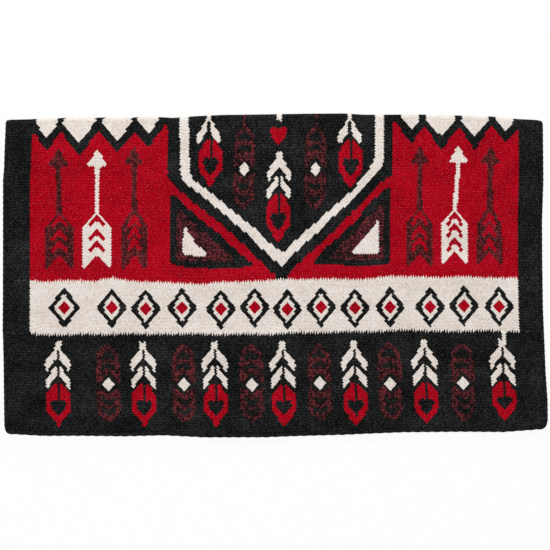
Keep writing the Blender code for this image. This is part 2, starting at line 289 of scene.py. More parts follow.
@dataclass(frozen=True)
class WoolFinish:
    """A dyed wool weft yarn, carded and loosely spun, beaten down hard in the weave.

    Matt and a little hairy: the strands show as fine ridges across each rib, the dye takes
    unevenly from fibre to fibre, and loose fibres catch the light at a low angle.
    """

    yarn: Yarn
    deep: str
    body: str
    pale: str
    fleck: str
    fleck_share: float
    sheen: float
    specular: float
    # Painted shade: what is left of the colour where four bumps meet, and between two passes
    hollow: float
    groove_shade: float
    # How far the noise runs from its middle to the deep and the pale shade
    spread: float
    # The strands and the fibres on them: how wide they are, and how far they stand out
    strand_mm: float = 2.3
    strand_height_mm: float = 0.7
    fibre_mm: float = 0.5
    fibre_height_mm: float = 0.6
    # The size of the dye's patches along the weft and along the warps, and of its clouds
    heather_mm: tuple[float, float] = (3.4, 2.0)
    cloud_mm: tuple[float, float] = (55.0, 38.0)
    # How much of the shade comes from the fibres, from the clouds, and from each bump by itself
    fibre_share: float = 0.5
    cloud_share: float = 0.22
    single: float = 0.12
    # Loose fibres of the other wools, drawn coarser than the real ones so that they show, and
    # the noise at which they begin and are whole
    fleck_mm: tuple[float, float] = (2.4, 1.1)
    fleck_from: float = 0.66
    fleck_whole: float = 0.80
    # Tightly spun fibres shine a little more than loose ones.
    spun_roughness: float = 0.82
    loose_roughness: float = 0.98

    def material(self) -> bpy.types.Material:
        """Build the yarn's material, or return it if it is there.

        Returns:
            The material, named for the yarn.
        """
        name = f"{self.yarn.value}_tapestry_weft"
        if name in bpy.data.materials:
            return bpy.data.materials[name]
        made = bpy.data.materials.new(name)
        made.diffuse_color = linear(self.body)
        weave = WeaveMap.start(made)
        rough = add_node(
            weave.tree, "ShaderNodeMapRange",
            values={"To Min": self.spun_roughness, "To Max": self.loose_roughness},
            links={"Value": weave.noise(2.0, 1.0, 2.0)},
        )
        weave.surface(
            {
                "Metallic": 0.0, "IOR": 1.45, "Specular IOR Level": self.specular,
                "Sheen Weight": self.sheen, "Sheen Roughness": 0.55,
                "Sheen Tint": linear(self.pale),
            },
            {
                "Base Color": self._colour(weave), "Roughness": rough.outputs["Result"],
                "Normal": self._bump(weave),
            },
        )
        return made

    def _colour(self, weave: WeaveMap) -> Socket:
        """Mix the dye's shades, the loose fibres and the painted shade between the bumps.

        Args:
            weave: The material's tree and place.

        Returns:
            The surface's colour.
        """
        # Uneven dye: patches, single fibres inside them, wide clouds and whole bumps.
        dye = weave.noise(*self.heather_mm, 2.0)
        for share, other in (
            (self.fibre_share, weave.noise(self.fibre_mm * 5, self.fibre_mm * 1.6, 3.0)),
            (self.cloud_share, weave.noise(*self.cloud_mm, 2.0)),
            (self.single, weave.single_bumps()),
        ):
            mixed = add_node(
                weave.tree, "ShaderNodeMix", {"data_type": "FLOAT"}, {"Factor": share},
                {"A": dye, "B": other},
            )
            dye = mixed.outputs["Result"]
        ramp = add_node(weave.tree, "ShaderNodeValToRGB", links={"Fac": dye})
        shades = ramp.color_ramp.elements
        for stop, away, shade in ((0, -self.spread, self.deep), (1, self.spread, self.pale)):
            shades[stop].position = 0.5 + away
            shades[stop].color = linear(shade)
        shades.new(0.5).color = linear(self.body)
        rare = add_node(
            weave.tree, "ShaderNodeMapRange", {"interpolation_type": "SMOOTHSTEP"},
            {
                "From Min": self.fleck_from, "From Max": self.fleck_whole,
                "To Max": self.fleck_share,
            },
            {"Value": weave.noise(*self.fleck_mm, 1.0)},
        )
        hollows, grooves = weave.shaded()
        colour = ramp.outputs["Color"]
        # After the loose fibres, the colour is darkened where four bumps meet and between two
        # passes: painted shade.
        for blend, factor, other in (
            ("MIX", rare.outputs["Result"], linear(self.fleck)),
            ("MULTIPLY", hollows, (self.hollow, self.hollow, self.hollow, 1.0)),
            ("MULTIPLY", grooves, (self.groove_shade, self.groove_shade, self.groove_shade, 1.0)),
        ):
            mixed = add_node(
                weave.tree, "ShaderNodeMix", {"data_type": "RGBA", "blend_type": blend},
                {7: other}, {"Factor": factor, 6: colour},
            )
            colour = mixed.outputs[2]
        return colour

    def _bump(self, weave: WeaveMap) -> Socket:
        """Raise the strands that lie across each rib, and roughen them with fibres.

        Args:
            weave: The material's tree and place.

        Returns:
            The normal.
        """
        strands = add_node(
            weave.tree, "ShaderNodeTexWave", {"bands_direction": "Y"},
            {
                "Scale": WAVE_PERIOD / self.strand_mm, "Distortion": 1.6, "Detail": 2.0,
                "Detail Scale": 2.2,
            },
            {"Vector": weave.place},
        )
        raised = add_node(
            weave.tree, "ShaderNodeBump", {},
            {"Strength": 0.55, "Distance": self.strand_height_mm * MM},
            {"Height": strands.outputs["Fac"]},
        )
        fibres = weave.noise(self.fibre_mm * 3, self.fibre_mm, 3.0)
        hairy = add_node(
            weave.tree, "ShaderNodeBump", {},
            {"Strength": 0.5, "Distance": self.fibre_height_mm * MM},
            {"Height": fibres, "Normal": raised.outputs["Normal"]},
        )
        return hairy.outputs["Normal"]


@dataclass(frozen=True)
class CottonFinish:
    """Unbleached cotton warp, hard-twisted, which the wool covers on both faces."""

    body: str = "CFC4AE"
    deep: str = "B3A78E"

    def material(self) -> bpy.types.Material:
        """Build the warps' material: fine threads side by side.

        Returns:
            The material.
        """
        made = bpy.data.materials.new("unbleached_cotton_warp")
        weave = WeaveMap.start(made)
        threads = add_node(
            weave.tree, "ShaderNodeTexWave", {"bands_direction": "X"},
            {"Scale": WAVE_PERIOD / WEAVE.rib_mm, "Distortion": 0.4}, {"Vector": weave.place},
        )
        # Painted shade: the same wave that raises the threads makes them darker where they sink
        # between each other.
        colour = add_node(
            weave.tree, "ShaderNodeMix", {"data_type": "RGBA"},
            {6: linear(self.deep), 7: linear(self.body)}, {"Factor": threads.outputs["Fac"]},
        )
        bump = add_node(
            weave.tree, "ShaderNodeBump", {}, {"Strength": 0.6, "Distance": 0.8 * MM},
            {"Height": threads.outputs["Fac"]},
        )
        weave.surface(
            {"Roughness": 0.85, "Specular IOR Level": 0.25},
            {"Base Color": colour.outputs[2], "Normal": bump.outputs["Normal"]},
        )
        return made


@dataclass(frozen=True)
class Weave:
    """The lattice of the cloth: ribs across it, and rows of weft, two to a pass.

    The weft goes over one warp and under the next, and each row changes the two round, so the
    bumps lie like bricks. A bump is a diamond with a raised middle: it reaches to the middle
    of both ribs beside it, and to the next row on either side.
    """

    ribs: int = 426
    rib_mm: float = 2.0
    thickness: float = 6.0
    band_start: int = 116
    band_end: int = 154
    rows: int = 224
    # Rows with a known place. The outer face is longer round the fold, so the rows are closer
    # there along the warps. Along both joints of the cream band the bumps are long, so that
    # the two yarns stand between each other like teeth.
    known_rows: tuple[float, ...] = (0, 6, 115.5, 116.5, 153.5, 154.5, 224)
    known_places: tuple[float, ...] = (0, 7, 256.6, 261.4, 342.3, 347.3, 501.6)
    row_mm: float = 2.28
    tucked_place: float = 503.4
    crest: float = 6.16
    back_row_depth: float = 0.24
    hollow_depth: float = 0.98
    tucked_depth: float = 2.3
    teeth_sway: float = 0.92
    turn_sway: float = 0.45
    # The ribs beside a selvedge over which the turns' sway dies out
    calm_ribs: int = 4

    @property
    def columns(self) -> int:
        """The grid's columns: the ribs, and one more on each side inside the selvedge."""
        return self.ribs + 2

    def across(self, column: np.ndarray) -> np.ndarray:
        """The place of a grid column across the cloth."""
        return (column - (self.columns - 1) / 2) * self.rib_mm

    def place_of_row(self, row: np.ndarray) -> np.ndarray:
        """How far from the fold a row starts."""
        return np.interp(row, self.known_rows, self.known_places)

    def row_at(self, v: np.ndarray) -> np.ndarray:
        """The row at a distance from the fold, with its fraction."""
        return np.interp(np.abs(v), self.known_places, self.known_rows)

    def half_lines(self) -> np.ndarray:
        """The lines of one half's grid, through the middle of its rows. None is on the fold."""
        return np.append(self.place_of_row(np.arange(self.rows) + 0.5), self.tucked_place)

    def lines(self) -> np.ndarray:
        """The lines of the whole grid, from the off end over the fold to the near end."""
        half = self.half_lines()
        return np.concatenate([-half[::-1], half])

    def steps(self, line: np.ndarray) -> np.ndarray:
        """The rows from the fold to a line: 0 and up on the near half, -1 and down on the off."""
        return line - (self.rows + 1)

    def is_crest(self, column: np.ndarray, line: np.ndarray) -> np.ndarray:
        """True in the middle of a bump, and false where four bumps meet."""
        return (column + self.steps(line)) % 2 == 0

    def depth(self, column: np.ndarray, line: np.ndarray) -> np.ndarray:
        """Shape the bumps.

        Args:
            column: Grid columns.
            line: Grid lines.

        Returns:
            The depth of each grid point below the highest bumps.
        """
        back = np.where(column % 2 == 0, self.back_row_depth, 0.0)
        depth = np.where(self.is_crest(column, line), back, self.hollow_depth)
        last = 2 * self.rows + 1
        tucked = (column == 0) | (column == self.columns - 1) | (line == 0) | (line == last)
        return np.where(tucked, self.tucked_depth, depth)

    def place(self, column: np.ndarray, line: np.ndarray) -> tuple[np.ndarray, np.ndarray]:
        """Find the grid's points on the cloth.

        Args:
            column: Grid columns.
            line: Grid lines.

        Returns:
            Places across the cloth, which sway a little where yarns turn back further on
            every other pass, and distances from the fold with their sign. The teeth of the
            cream band's joints are not all as long.
        """
        steps = self.steps(line)
        row = np.abs(steps + 0.5)
        teeth = (np.abs(row - self.band_start) < 1) | (np.abs(row - self.band_end) < 1)
        # Two waves that never repeat together
        sway = np.sin(1.93 * column + row) + np.sin(0.71 * column + 2 * row + 1)
        uneven = np.where(teeth, self.teeth_sway * sway * np.sign(steps + 0.5), 0.0)
        from_side = np.minimum(column, self.columns - 1 - column)
        sides = np.clip(from_side / self.calm_ribs, 0, 1)
        turns = self.turn_sway * sides * np.sin(math.pi / 2 * (steps + 0.5))
        return self.across(column) + turns, self.lines()[line] + uneven


WEAVE = Weave()


@dataclass(frozen=True)
class Lie:
    """How the folded blanket lies: its outline in the photograph, its fold and its ripples.

    The photograph shows 1.59 mm to a pixel, and y 273 of it is the middle of the part.
    """

    mm_per_pixel: float = 1.59
    middle: tuple[float, float] = (275.0, 273.0)
    # Where the blanket's left side is and how wide it looks, before its outline is followed
    left_side: float = 3.0
    shown_width: float = 541.0
    half_width: float = 432.0
    half_length: float = 508.0
    inner_radius: float = 1.0
    # A quarter turn of the cloth's middle
    fold_arc: float = 4 * math.pi / 2
    fold_centre: float = 247.3584
    hinge_height: float = 7.15
    hinge_clearance: float = 0.15
    # Half the height about the hinge in which a piece has no vertices
    bend_reach: float = 0.13
    # The corners' radii across and along the cloth
    left_corner: tuple[float, float] = (9.0, 16.0)
    right_corner: tuple[float, float] = (11.0, 19.0)
    # How far the joints' rise and fall reaches into the rows on both sides
    joint_reach: float = 24.0
    broad_waves: float = 0.035
    slanting_waves: float = 0.022
    # Depth, distance from the fold and width of the crease under the cream band and of two
    # faint ones in it
    creases: tuple[tuple[float, float, float], ...] = (
        (0.055, 356.0, 5.5), (0.02, 273.0, 3.5), (0.012, 331.0, 4.0),
    )
    # Where the ripples begin and where they are whole
    ripples_from: float = 25.0
    ripples_whole: float = 75.0
    # The outline in pixels
    fold_line: Line = (
        (3, 121.4), (5.6, 119.8), (9.5, 119.0), (24, 118.7), (64, 117.2), (104, 116.8),
        (134, 116.6), (160, 116.4), (172, 117.2), (184, 116.4), (196, 115.4), (222, 114.2),
        (254, 113.8), (304, 113.0), (344, 112.7), (364, 114.0), (396, 113.9), (423, 113.8),
        (459, 114.8), (492, 115.8), (510, 117.6), (519, 118.4), (532, 119.0), (540, 119.6),
        (544, 121.4),
    )
    end_line: Line = (
        (3, 434.2), (44, 436.5), (84, 436.4), (124, 436.9), (164, 435.9), (204, 438),
        (264, 437.9), (304, 436.4), (344, 435.4), (364, 434.4), (404, 432.8), (464, 432.3),
        (504, 432.6), (524, 431.1), (546, 429.4),
    )
    left_line: Line = (
        (113, 5.3), (132, 4.6), (148, 3.9), (166, 3.4), (180, 2.3), (300, 2.1), (330, 1.9),
        (356, 2.8), (388, 3.2), (437, 3.8),
    )
    right_line: Line = (
        (113, 543.5), (180, 544.1), (220, 542.8), (260, 543.0), (308, 543.7), (340, 545.1),
        (372, 546.3), (400, 548.3), (437, 548.8),
    )
    # Where the weft rows rise and sink along the cream band's two joints, in pixels
    upper_joint: Line = (
        (29, 0.0), (47, 1.6), (61, 0.3), (83, 0.6), (94, 1.7), (103, -0.8), (113, -2.4),
        (124, 0.0), (136, 1.6), (153, 2.6), (171, 2.8), (190, 3.9), (204, 4.6), (218, 2.6),
        (236, 2.7), (262, 1.8), (284, 0.2), (300, 1.5), (316, 1.2), (332, 1.2), (356, 2.2),
        (372, 1.2), (388, -0.8), (412, 0.0), (440, 0.9), (462, -0.5), (486, 0.5), (519, -0.6),
    )
    lower_joint: Line = (
        (29, -0.6), (45, 0.5), (66, 0.9), (84, -0.2), (106, 0.6), (128, -0.7),
        (150, 0.7), (172, 0.3), (196, -0.8), (220, 0.6), (246, -0.3), (270, 0.8),
        (292, -0.5), (320, 0.5), (350, -0.6), (376, 0.4), (404, -0.7), (432, 0.6),
        (460, 0.9), (488, -0.5), (519, 0.4),
    )

    def _follow(self, line: Line, at: np.ndarray) -> np.ndarray:
        """Read a line drawn through points, at other places along it."""
        xs, ys = zip(*line)
        return np.interp(at, xs, ys)

    def _round_corners(self, u: np.ndarray, v: np.ndarray) -> tuple[np.ndarray, np.ndarray]:
        """Draw the four corners in, as a square is drawn into a circle.

        Args:
            u: Places across the cloth.
            v: Distances from the fold, without their sign.

        Returns:
            The same places with the corners rounded.
        """
        left = u < 0
        across = np.where(left, self.left_corner[0], self.right_corner[0])
        along = np.where(left, self.left_corner[1], self.right_corner[1])
        # Shares of the corner, which may run a little past its edge
        a = np.clip((np.abs(u) - (self.half_width - across)) / across, 0, 1.2)
        b = np.clip((v - (self.half_length - along)) / along, 0, 1.2)
        a_in = a * np.sqrt(1 - np.minimum(b, 1) ** 2 / 2)
        b_in = b * np.sqrt(1 - np.minimum(a, 1) ** 2 / 2)
        return u + np.sign(u) * (a_in - a) * across, v + (b_in - b) * along

    def pixel(self, u: np.ndarray, v: np.ndarray) -> tuple[np.ndarray, np.ndarray]:
        """Find where the photograph shows a place of the near half's outer face.

        Args:
            u: Places across the cloth.
            v: Distances from the fold, without their sign.

        Returns:
            x and y in pixels.
        """
        u, v = self._round_corners(u, v)
        share = (u + self.half_width) / (2 * self.half_width)
        down = v / self.half_length
        x = self.left_side + share * self.shown_width
        # The sides depend on y, and the fold and the end on x: a few rounds settle both.
        for _ in range(4):
            top, bottom = self._follow(self.fold_line, x), self._follow(self.end_line, x)
            y = top + down * (bottom - top)
            left, right = self._follow(self.left_line, y), self._follow(self.right_line, y)
            x = left + share * (right - left)
        joints = (self.upper_joint, self.lower_joint)
        for joint, row in zip(joints, (WEAVE.band_start, WEAVE.band_end)):
            far = (v - WEAVE.place_of_row(row)) / self.joint_reach
            y = y + self._follow(joint, x) * np.exp(-(far**2))
        return x, y

    def ripple(self, u: np.ndarray, v: np.ndarray) -> np.ndarray:
        """Give the share by which the cloth rises from the surface that it lies on.

        Args:
            u: Places across the cloth.
            v: Distances from the fold, without their sign.

        Returns:
            The rise, as a share of the height, which is nothing at the fold.
        """
        # Waves of about 450 by 360 mm, and slanting ones of about 200 mm
        wide = self.broad_waves * np.sin(u / 71 + 0.6) * np.sin(v / 58 + 0.4)
        wide = wide + self.slanting_waves * np.sin(u / 33 - v / 90 + 1.1)
        crease = sum(
            deep * np.exp(-(((v - far) / width) ** 2)) for deep, far, width in self.creases
        )
        away = np.clip((v - self.ripples_from) / (self.ripples_whole - self.ripples_from), 0, 1)
        return (wide - crease) * away * away * (3 - 2 * away)

    def place(self, u: np.ndarray, v: np.ndarray, w: np.ndarray) -> np.ndarray:
        """Find the points of the folded cloth in the row frame.

        Args:
            u: Places across the cloth.
            v: Distances from the fold, positive on the near half.
            w: Heights above the inner face.

        Returns:
            One row of x, y and z in metres to a point.
        """
        far = np.abs(v)
        up = np.where(v > 0, 1.0, -1.0)
        radius = self.inner_radius + w
        angle = math.pi / 2 * np.minimum(far / self.fold_arc, 1)
        y = self.fold_centre + radius * np.cos(angle) - np.maximum(far - self.fold_arc, 0)
        z = self.hinge_height + up * (self.hinge_clearance + radius * np.sin(angle))
        shown_x, shown_y = self.pixel(u, far)
        x = (shown_x - self.middle[0]) * self.mm_per_pixel
        # The even cloth moves to where the photograph shows it.
        outer = self.fold_centre + self.inner_radius + WEAVE.thickness
        even = outer - far * (2 * outer / self.half_length)
        y = y + (self.middle[1] - shown_y) * self.mm_per_pixel - even
        z = z * (1 + self.ripple(u, far))
        return np.stack([x, y, z], axis=-1) * MM


LIE = Lie()


@dataclass(frozen=True)
class Area:
    """One woven area: its yarn, what carries it, and the CAD nodes that it stands for."""

    name: str
    yarn: Yarn
    carry: Carry = Carry.EACH_HALF
    nodes: tuple[str, ...] = ()


# A y beyond the fold, to which the shapes along it are drawn
TOP = 100.0

# The plain shapes, from the ground up: the panels, the zigzag along the fold and its teeth, the
# medallion's outlines, and the two corner triangles
PLAIN_SHAPES: tuple[tuple[str, Line], ...] = (
    ("red_panel_left", ((20, TOP), (281.5, TOP), (281.5, 300), (20, 300))),
    ("red_panel_right", ((281.5, TOP), (530, TOP), (530, 300), (281.5, 300))),
    ("black_line", (
        (20, TOP), (20, 133), (29.5, 133), (35, 133.8), (46.3, 150.8), (60.8, 131.6),
        (80.4, 155.4), (97.6, 130.4), (116.5, 153), (134.9, 131), (148.7, 146.8),
        (167, 121.5), (172, 121.5), (172, TOP),
    )),
    ("black_line", (
        (388, TOP), (388, 119), (393.4, 118.5), (411.6, 144), (424.2, 124), (441.4, 150.2),
        (459.2, 125.8), (474.7, 150.2), (490.8, 125.2), (505.7, 143.4), (518.3, 128),
        (530, 126), (530, TOP),
    )),
    ("tooth_left_1", ((36.5, TOP), (36, 123.5), (46.5, 137), (57.8, 122.5), (57, TOP))),
    ("tooth_left_2", (
        (66, TOP), (66, 118), (62, 122), (79.7, 142.4), (95.3, 121), (95.3, TOP),
    )),
    ("tooth_left_3", (
        (105, TOP), (105, 117), (101, 122), (116.7, 140.8), (131.6, 122), (130.6, TOP),
    )),
    ("tooth_left_4", ((139.4, TOP), (137.6, 120.5), (148.3, 134), (158.8, 119), (158.8, TOP))),
    ("tooth_right_1", ((401, TOP), (401, 117.5), (411.6, 128.4), (419, 119.5), (418, TOP))),
    ("tooth_right_2", ((428, TOP), (425.6, 120.5), (441.4, 135.6), (455.6, 121), (453.5, TOP))),
    ("tooth_right_3", ((464.5, TOP), (462, 121), (474.7, 137), (488.8, 121), (487, TOP))),
    ("tooth_right_4", ((496, TOP), (496, 120), (505.3, 131.6), (513.5, 120.5), (512, TOP))),
    ("black_line", (
        (167.4, TOP), (167.6, 178), (184, 194), (200, 207.7), (216, 220), (232, 233.2),
        (248, 249.3), (264, 264.3), (276.5, 277), (277, 284), (287.5, 284), (288, 275.5),
        (300, 262), (316, 247.3), (332, 232.5), (348, 216.5), (364, 200), (380, 183.5),
        (392.6, 174.6), (392.6, TOP),
    )),
    ("cream_line", (
        (179, TOP), (180.4, 174), (181.8, 178.6), (187, 183.6), (200, 194), (224, 213.7),
        (248, 234.8), (264, 250.3), (281.6, 266.6), (300, 247.7), (316, 233.7), (332, 217.7),
        (348, 203.5), (364.3, 187.2), (374.8, 175.4), (382.3, 165), (384.3, 158), (383.9, TOP),
    )),
    ("medallion_field", (
        (188.3, TOP), (189.6, 171), (192, 178.2), (200, 184.7), (216, 196.5), (240, 216.7),
        (256, 229.3), (272, 245), (282.7, 252.8), (300, 235.7), (316, 222.7), (332, 207.6),
        (348, 193.8), (355, 187), (364.3, 174.4), (371.8, 165), (374.8, 157.4), (374.8, TOP),
    )),
    ("corner_left_black", (
        (169.8, 190.8), (184, 204.5), (200, 218.5), (216, 230.8), (232, 246), (253.5, 264.8),
        (251, 266.8), (210, 268.6), (182, 266.6), (169.6, 263.6),
    )),
    ("corner_left_maroon", ((177, 207.5), (235, 259.6), (235, 261.2), (176, 261.6))),
    ("corner_left_cream", (
        (184, 225.8), (185.8, 227), (189, 234), (197, 244), (203.5, 250.6), (207.8, 253.4),
        (207, 256), (181.8, 255),
    )),
    ("corner_right_black", (
        (391, 184.6), (372, 200), (356, 220), (340, 235.5), (324, 249), (311.5, 263.2),
        (314, 263.8), (340, 264.6), (362, 266.4), (390.2, 264.2),
    )),
    ("corner_right_maroon", ((384.2, 200.6), (329, 256.8), (329, 259.8), (384.2, 259.6))),
    ("corner_right_cream", (
        (378.8, 217.4), (374.6, 224.6), (370, 232), (364, 238), (352, 250), (351.5, 253.8),
        (378.8, 253.8),
    )),
)

# What Cartoon._arrow takes: the area, the middle of the foot, the y of the point and of the
# foot, half the head's and half the feathers' width, and the lean
ARROWS: tuple[tuple[str, float, float, float, float, float, float], ...] = (
    ("arrow_left_1", 59.7, 150.0, 269.0, 10.3, 14.2, -2.2),
    ("arrow_left_2", 97.0, 150.0, 268.2, 10.2, 14.2, -0.8),
    ("arrow_left_3", 134.5, 147.7, 268.5, 9.4, 12.9, -1.5),
    ("arrow_right_1", 420.2, 147.0, 266.0, 9.0, 13.6, -0.5),
    ("arrow_right_2", 454.8, 146.4, 264.8, 9.4, 13.6, 2.9),
    ("arrow_right_3", 489.8, 146.6, 265.0, 9.4, 12.8, 0.1),
)

# The middles of the cream band's diamonds and of the end band's maroon feathers, across
BAND_DIAMONDS = (
    64.6, 111.2, 145.8, 181.5, 220.3, 254.2, 286.9, 320.6, 355.3, 390.6, 429.7, 463.7, 499.1,
)
MAROON_FEATHERS = (107.9, 183.8, 251.8, 320.2, 390.4, 463.0)

# The end band's other feathers: the quill's place across, the y of the top and of the leaf's
# point, and the lean
QUILL_FEATHERS = (
    (58.0, 341.0, 428.0, 2.8), (143.8, 341.0, 428.0, 0.0), (215.4, 341.0, 428.0, 0.6),
    (283.8, 341.0, 428.0, 0.0), (355.3, 340.2, 427.6, 0.0), (425.6, 338.8, 426.6, 0.0),
    (503.3, 338.2, 421.6, 0.0),
)


@dataclass
class Cartoon:
    """The weaver's drawing of the near half, in pixels of the photograph.

    Shapes are laid one over the other. Each bump of the weave then takes the yarn that covers
    most of it, and a thin shape takes each bump whose middle it has.
    """

    shapes: list[tuple[str, Points | Line, bool]] = field(default_factory=list)
    # An arrow's shaft from point to neck, and half its width. Cream looks wider than maroon
    # on red, so its shaft is a rib slimmer on each side.
    shaft_length: float = 63.0
    maroon_shaft: float = 2.7
    cream_shaft: float = 2.1
    # The length over which the shaft comes to its lean, and how far below the neck the
    # feathers' slots have their peaks
    lean_length: float = 36.0
    slot_peaks: tuple[float, ...] = (3.0, 15.8, 28.6)
    # A quill's two sides, in ribs from its left one
    quill_sides: tuple[float, float] = (-0.4, 1.4)
    # How far down a maroon feather its diamond is
    dark_middle: float = 0.522

    def __post_init__(self) -> None:
        """Find where each bump of the near half is in the photograph."""
        column, row = np.meshgrid(
            np.arange(WEAVE.columns), np.arange(WEAVE.rows), indexing="ij"
        )
        self.xs, self.ys = LIE.pixel(WEAVE.across(column), WEAVE.place_of_row(row + 0.5))
        self.off_bump = (column + row) % 2 == 1

    def warp(self, x: float, y: float) -> int:
        """The column of the warp that is nearest to a place."""
        far = np.hypot(self.xs - x, self.ys - y)
        return int(np.unravel_index(far.argmin(), far.shape)[0])

    def along(self, warp: int, y: float) -> float:
        """Where a warp is at some y, because a shape that is counted from it bends with it."""
        return float(np.interp(y, self.ys[warp], self.xs[warp]))

    def bump_y(self, warp: int, y: float) -> float:
        """The y of the bump on a warp that is nearest to some y."""
        bumps = self.ys[warp][~self.off_bump[warp]]
        return float(bumps[np.abs(bumps - y).argmin()])

    def lay(self, area: str, points: Points | Line, thin: bool = False) -> None:
        """Lay one shape over those before it. A thin one takes each bump whose middle it has."""
        self.shapes.append((area, points, thin))

    def lay_pair(self, area: str, warp: int, points: Points) -> None:
        """Lay a shape drawn from a warp, and its mirror image."""
        for side in (-1, 1):
            self.lay(area, [(self.along(warp, y) + side * x, y) for x, y in points])

    def draw(self) -> None:
        """Lay every shape, from the ground up."""
        for name, points in PLAIN_SHAPES:
            self.lay(name, points)
        for sizes in ARROWS:
            self._arrow(*sizes)
        self._medallion_motifs()
        self._band_diamonds()
        self._end_band()

    def _arrow(
        self, name: str, centre: float, tip: float, foot: float, head: float, feather: float,
        lean: float,
    ) -> None:
        """Lay an arrow that points at the fold, with three slots in its feathers.

        Args:
            name: The arrow's area.
            centre: The middle of its foot, across.
            tip: The y of its point.
            foot: The y of the feathers' ends.
            head: Half its head's width.
            feather: Half its feathers' width.
            lean: How far its point is to the right of its foot.
        """
        ground = "red_panel_left" if "left" in name else "red_panel_right"
        neck = tip + self.shaft_length
        warp = self.warp(centre, foot - 30)
        shaft = self.cream_shaft if name.endswith("_2") else self.maroon_shaft
        outline = (
            (0.0, tip - 0.8), (1.3, tip - 0.8), (0.52 * head, tip + 8.0), (head, tip + 14.0),
            (head, tip + 17.0), (0.7 * head, tip + 16.0), (shaft, tip + 16.2), (shaft, neck),
            (6.4, neck + 5), (feather - 0.4, neck + 14.2), (feather, foot - 1.6),
            (feather - 2.0, foot + 0.4), (feather - 4.2, foot - 2.4), (0.0, foot - 13.6),
        )
        slot = ((0.0, -0.6), (feather - 5.6, 10.6), (feather - 5.6, 16.4), (0.0, 6.2))
        # The shaft and the head lean, and the feathers stand upright.
        leans = [
            lean * min(1.0, max(0.0, (neck - 4 - y) / self.lean_length)) for _, y in outline
        ]
        for side in (-1, 1):
            self.lay(name, [
                (self.along(warp, y) + side * x + move, y)
                for (x, y), move in zip(outline, leans)
            ])
        for peak in self.slot_peaks:
            start = self.bump_y(warp, neck + peak) - 1.0
            self.lay_pair(ground, warp, [(x, start + y) for x, y in slot])

    def _quill_feather(
        self, row: FeatherRow, centre: float, top: float, point: float, lean: float = 0.0
    ) -> None:
        """Lay a feather of two cream chevrons and a red leaf.

        Args:
            row: Its row.
            centre: Its quill's place, across.
            top: The y of its top.
            point: The y of its leaf's point.
            lean: How far its top leans to the right.
        """
        cream = f"{row.value}_feathers_cream"
        warp = self.warp(centre, top + 45)
        foot = 8.8
        stem = ((0, 2.8), (1.6, 0), (2.8, 0), (3.1, foot), (0, foot))
        for side in (-1, 1):
            self.lay(cream, [
                (self.along(warp, top) + side * x + lean * (1 - y / foot), top + y)
                for x, y in stem
            ])
        upper = (
            (0.0, 7.5), (3.0, 8.5), (6.4, 12.6), (12.5, 19.8), (12.7, 25.0), (11.8, 31.0),
            (10.4, 30.2), (7.0, 24.5), (3.8, 19.6), (0.0, 16.4),
        )
        lower = (
            (0.9, 25.6), (3.0, 25.6), (6.4, 31.0), (12.5, 38.2), (12.6, 45.0), (11.4, 48.2),
            (10.0, 47.2), (5.4, 39.8), (1.0, 34.4),
        )
        slim = 1.0 if row is FeatherRow.BAND else 0.92
        for vane in (upper, lower):
            self.lay_pair(cream, warp, [(x * slim, top + y) for x, y in vane])
        if row is FeatherRow.BAND:
            self._slit(row.ground, warp, top + foot, top + 17.0)
        self._slit(row.ground, warp, top + 25.0, top + 35.0)
        self._leaf(row, warp, top + 43.2, point)

    def _slit(self, area: str, warp: int, top: float, bottom: float) -> None:
        """Lay a feather's quill, which goes from one rib to the next.

        Args:
            area: The area whose yarn it has.
            warp: The column of its left rib.
            top: The y of its top.
            bottom: The y of its foot.
        """
        rib = WEAVE.rib_mm / LIE.mm_per_pixel
        at_top, at_foot = self.along(warp, top), self.along(warp, bottom)
        left, right = (side * rib for side in self.quill_sides)
        self.lay(
            area,
            [
                (at_top + left, top), (at_top + right, top),
                (at_foot + right, bottom), (at_foot + left, bottom),
            ],
            thin=True,
        )

    def _leaf(self, row: FeatherRow, warp: int, top: float, point: float) -> None:
        """Lay a red leaf with a heart and a quill left open in it.

        Args:
            row: Its feather's row.
            warp: The column of its middle warp.
            top: The y of its two tips.
            point: The y of its point.
        """
        tall = point - top
        outline = (
            (0.0, 0.04), (1.4, 0.0), (3.6, 0.0), (7.2, 0.11), (12.0, 0.24), (12.3, 0.58),
            (9.0, 0.70), (2.8, 0.885), (1.0, 0.94), (0.8, 1.0), (0.0, 1.0),
        )
        heart = (
            (0.0, 0.42), (3.4, 0.37), (6.6, 0.38), (7.9, 0.44), (7.8, 0.49), (4.9, 0.60),
            (1.4, 0.70), (0.0, 0.76),
        )
        red = f"{row.value}_feathers_red"
        self.lay_pair(red, warp, [(x, top + share * tall) for x, share in outline])
        self._slit(row.ground, warp, top, top + 0.47 * tall)
        self.lay_pair(row.ground, warp, [(x, top + share * tall) for x, share in heart])

    def _dark_feather(
        self, row: FeatherRow, centre: float, top: float, bottom: float, wide: float
    ) -> None:
        """Lay a maroon feather, with chevrons left open in it and a cream diamond.

        Args:
            row: Its row.
            centre: Its middle, across.
            top: The y of its top.
            bottom: The y of its foot.
            wide: Half its width.
        """
        middle = top + self.dark_middle * (bottom - top)
        warp = self.warp(centre, middle)
        for vane in (
            [
                (0.0, top), (2.2, top + 1.2), (wide - 0.8, top + 10.6), (wide, top + 20),
                (wide, middle - 2.4), (wide - 3.6, middle - 2.0), (5.0, middle - 6.8),
                (0.0, middle - 11.6),
            ],
            [
                (0.0, middle + 9.8), (5.2, middle + 5.4), (wide - 3.8, middle + 3.0),
                (wide, middle + 3.6), (wide, bottom - 13), (wide - 2.4, bottom - 7.6),
                (2.6, bottom - 2.0), (0.0, bottom),
            ],
        ):
            self.lay_pair(f"{row.value}_feathers_maroon", warp, vane)
        inner = wide - 4.8
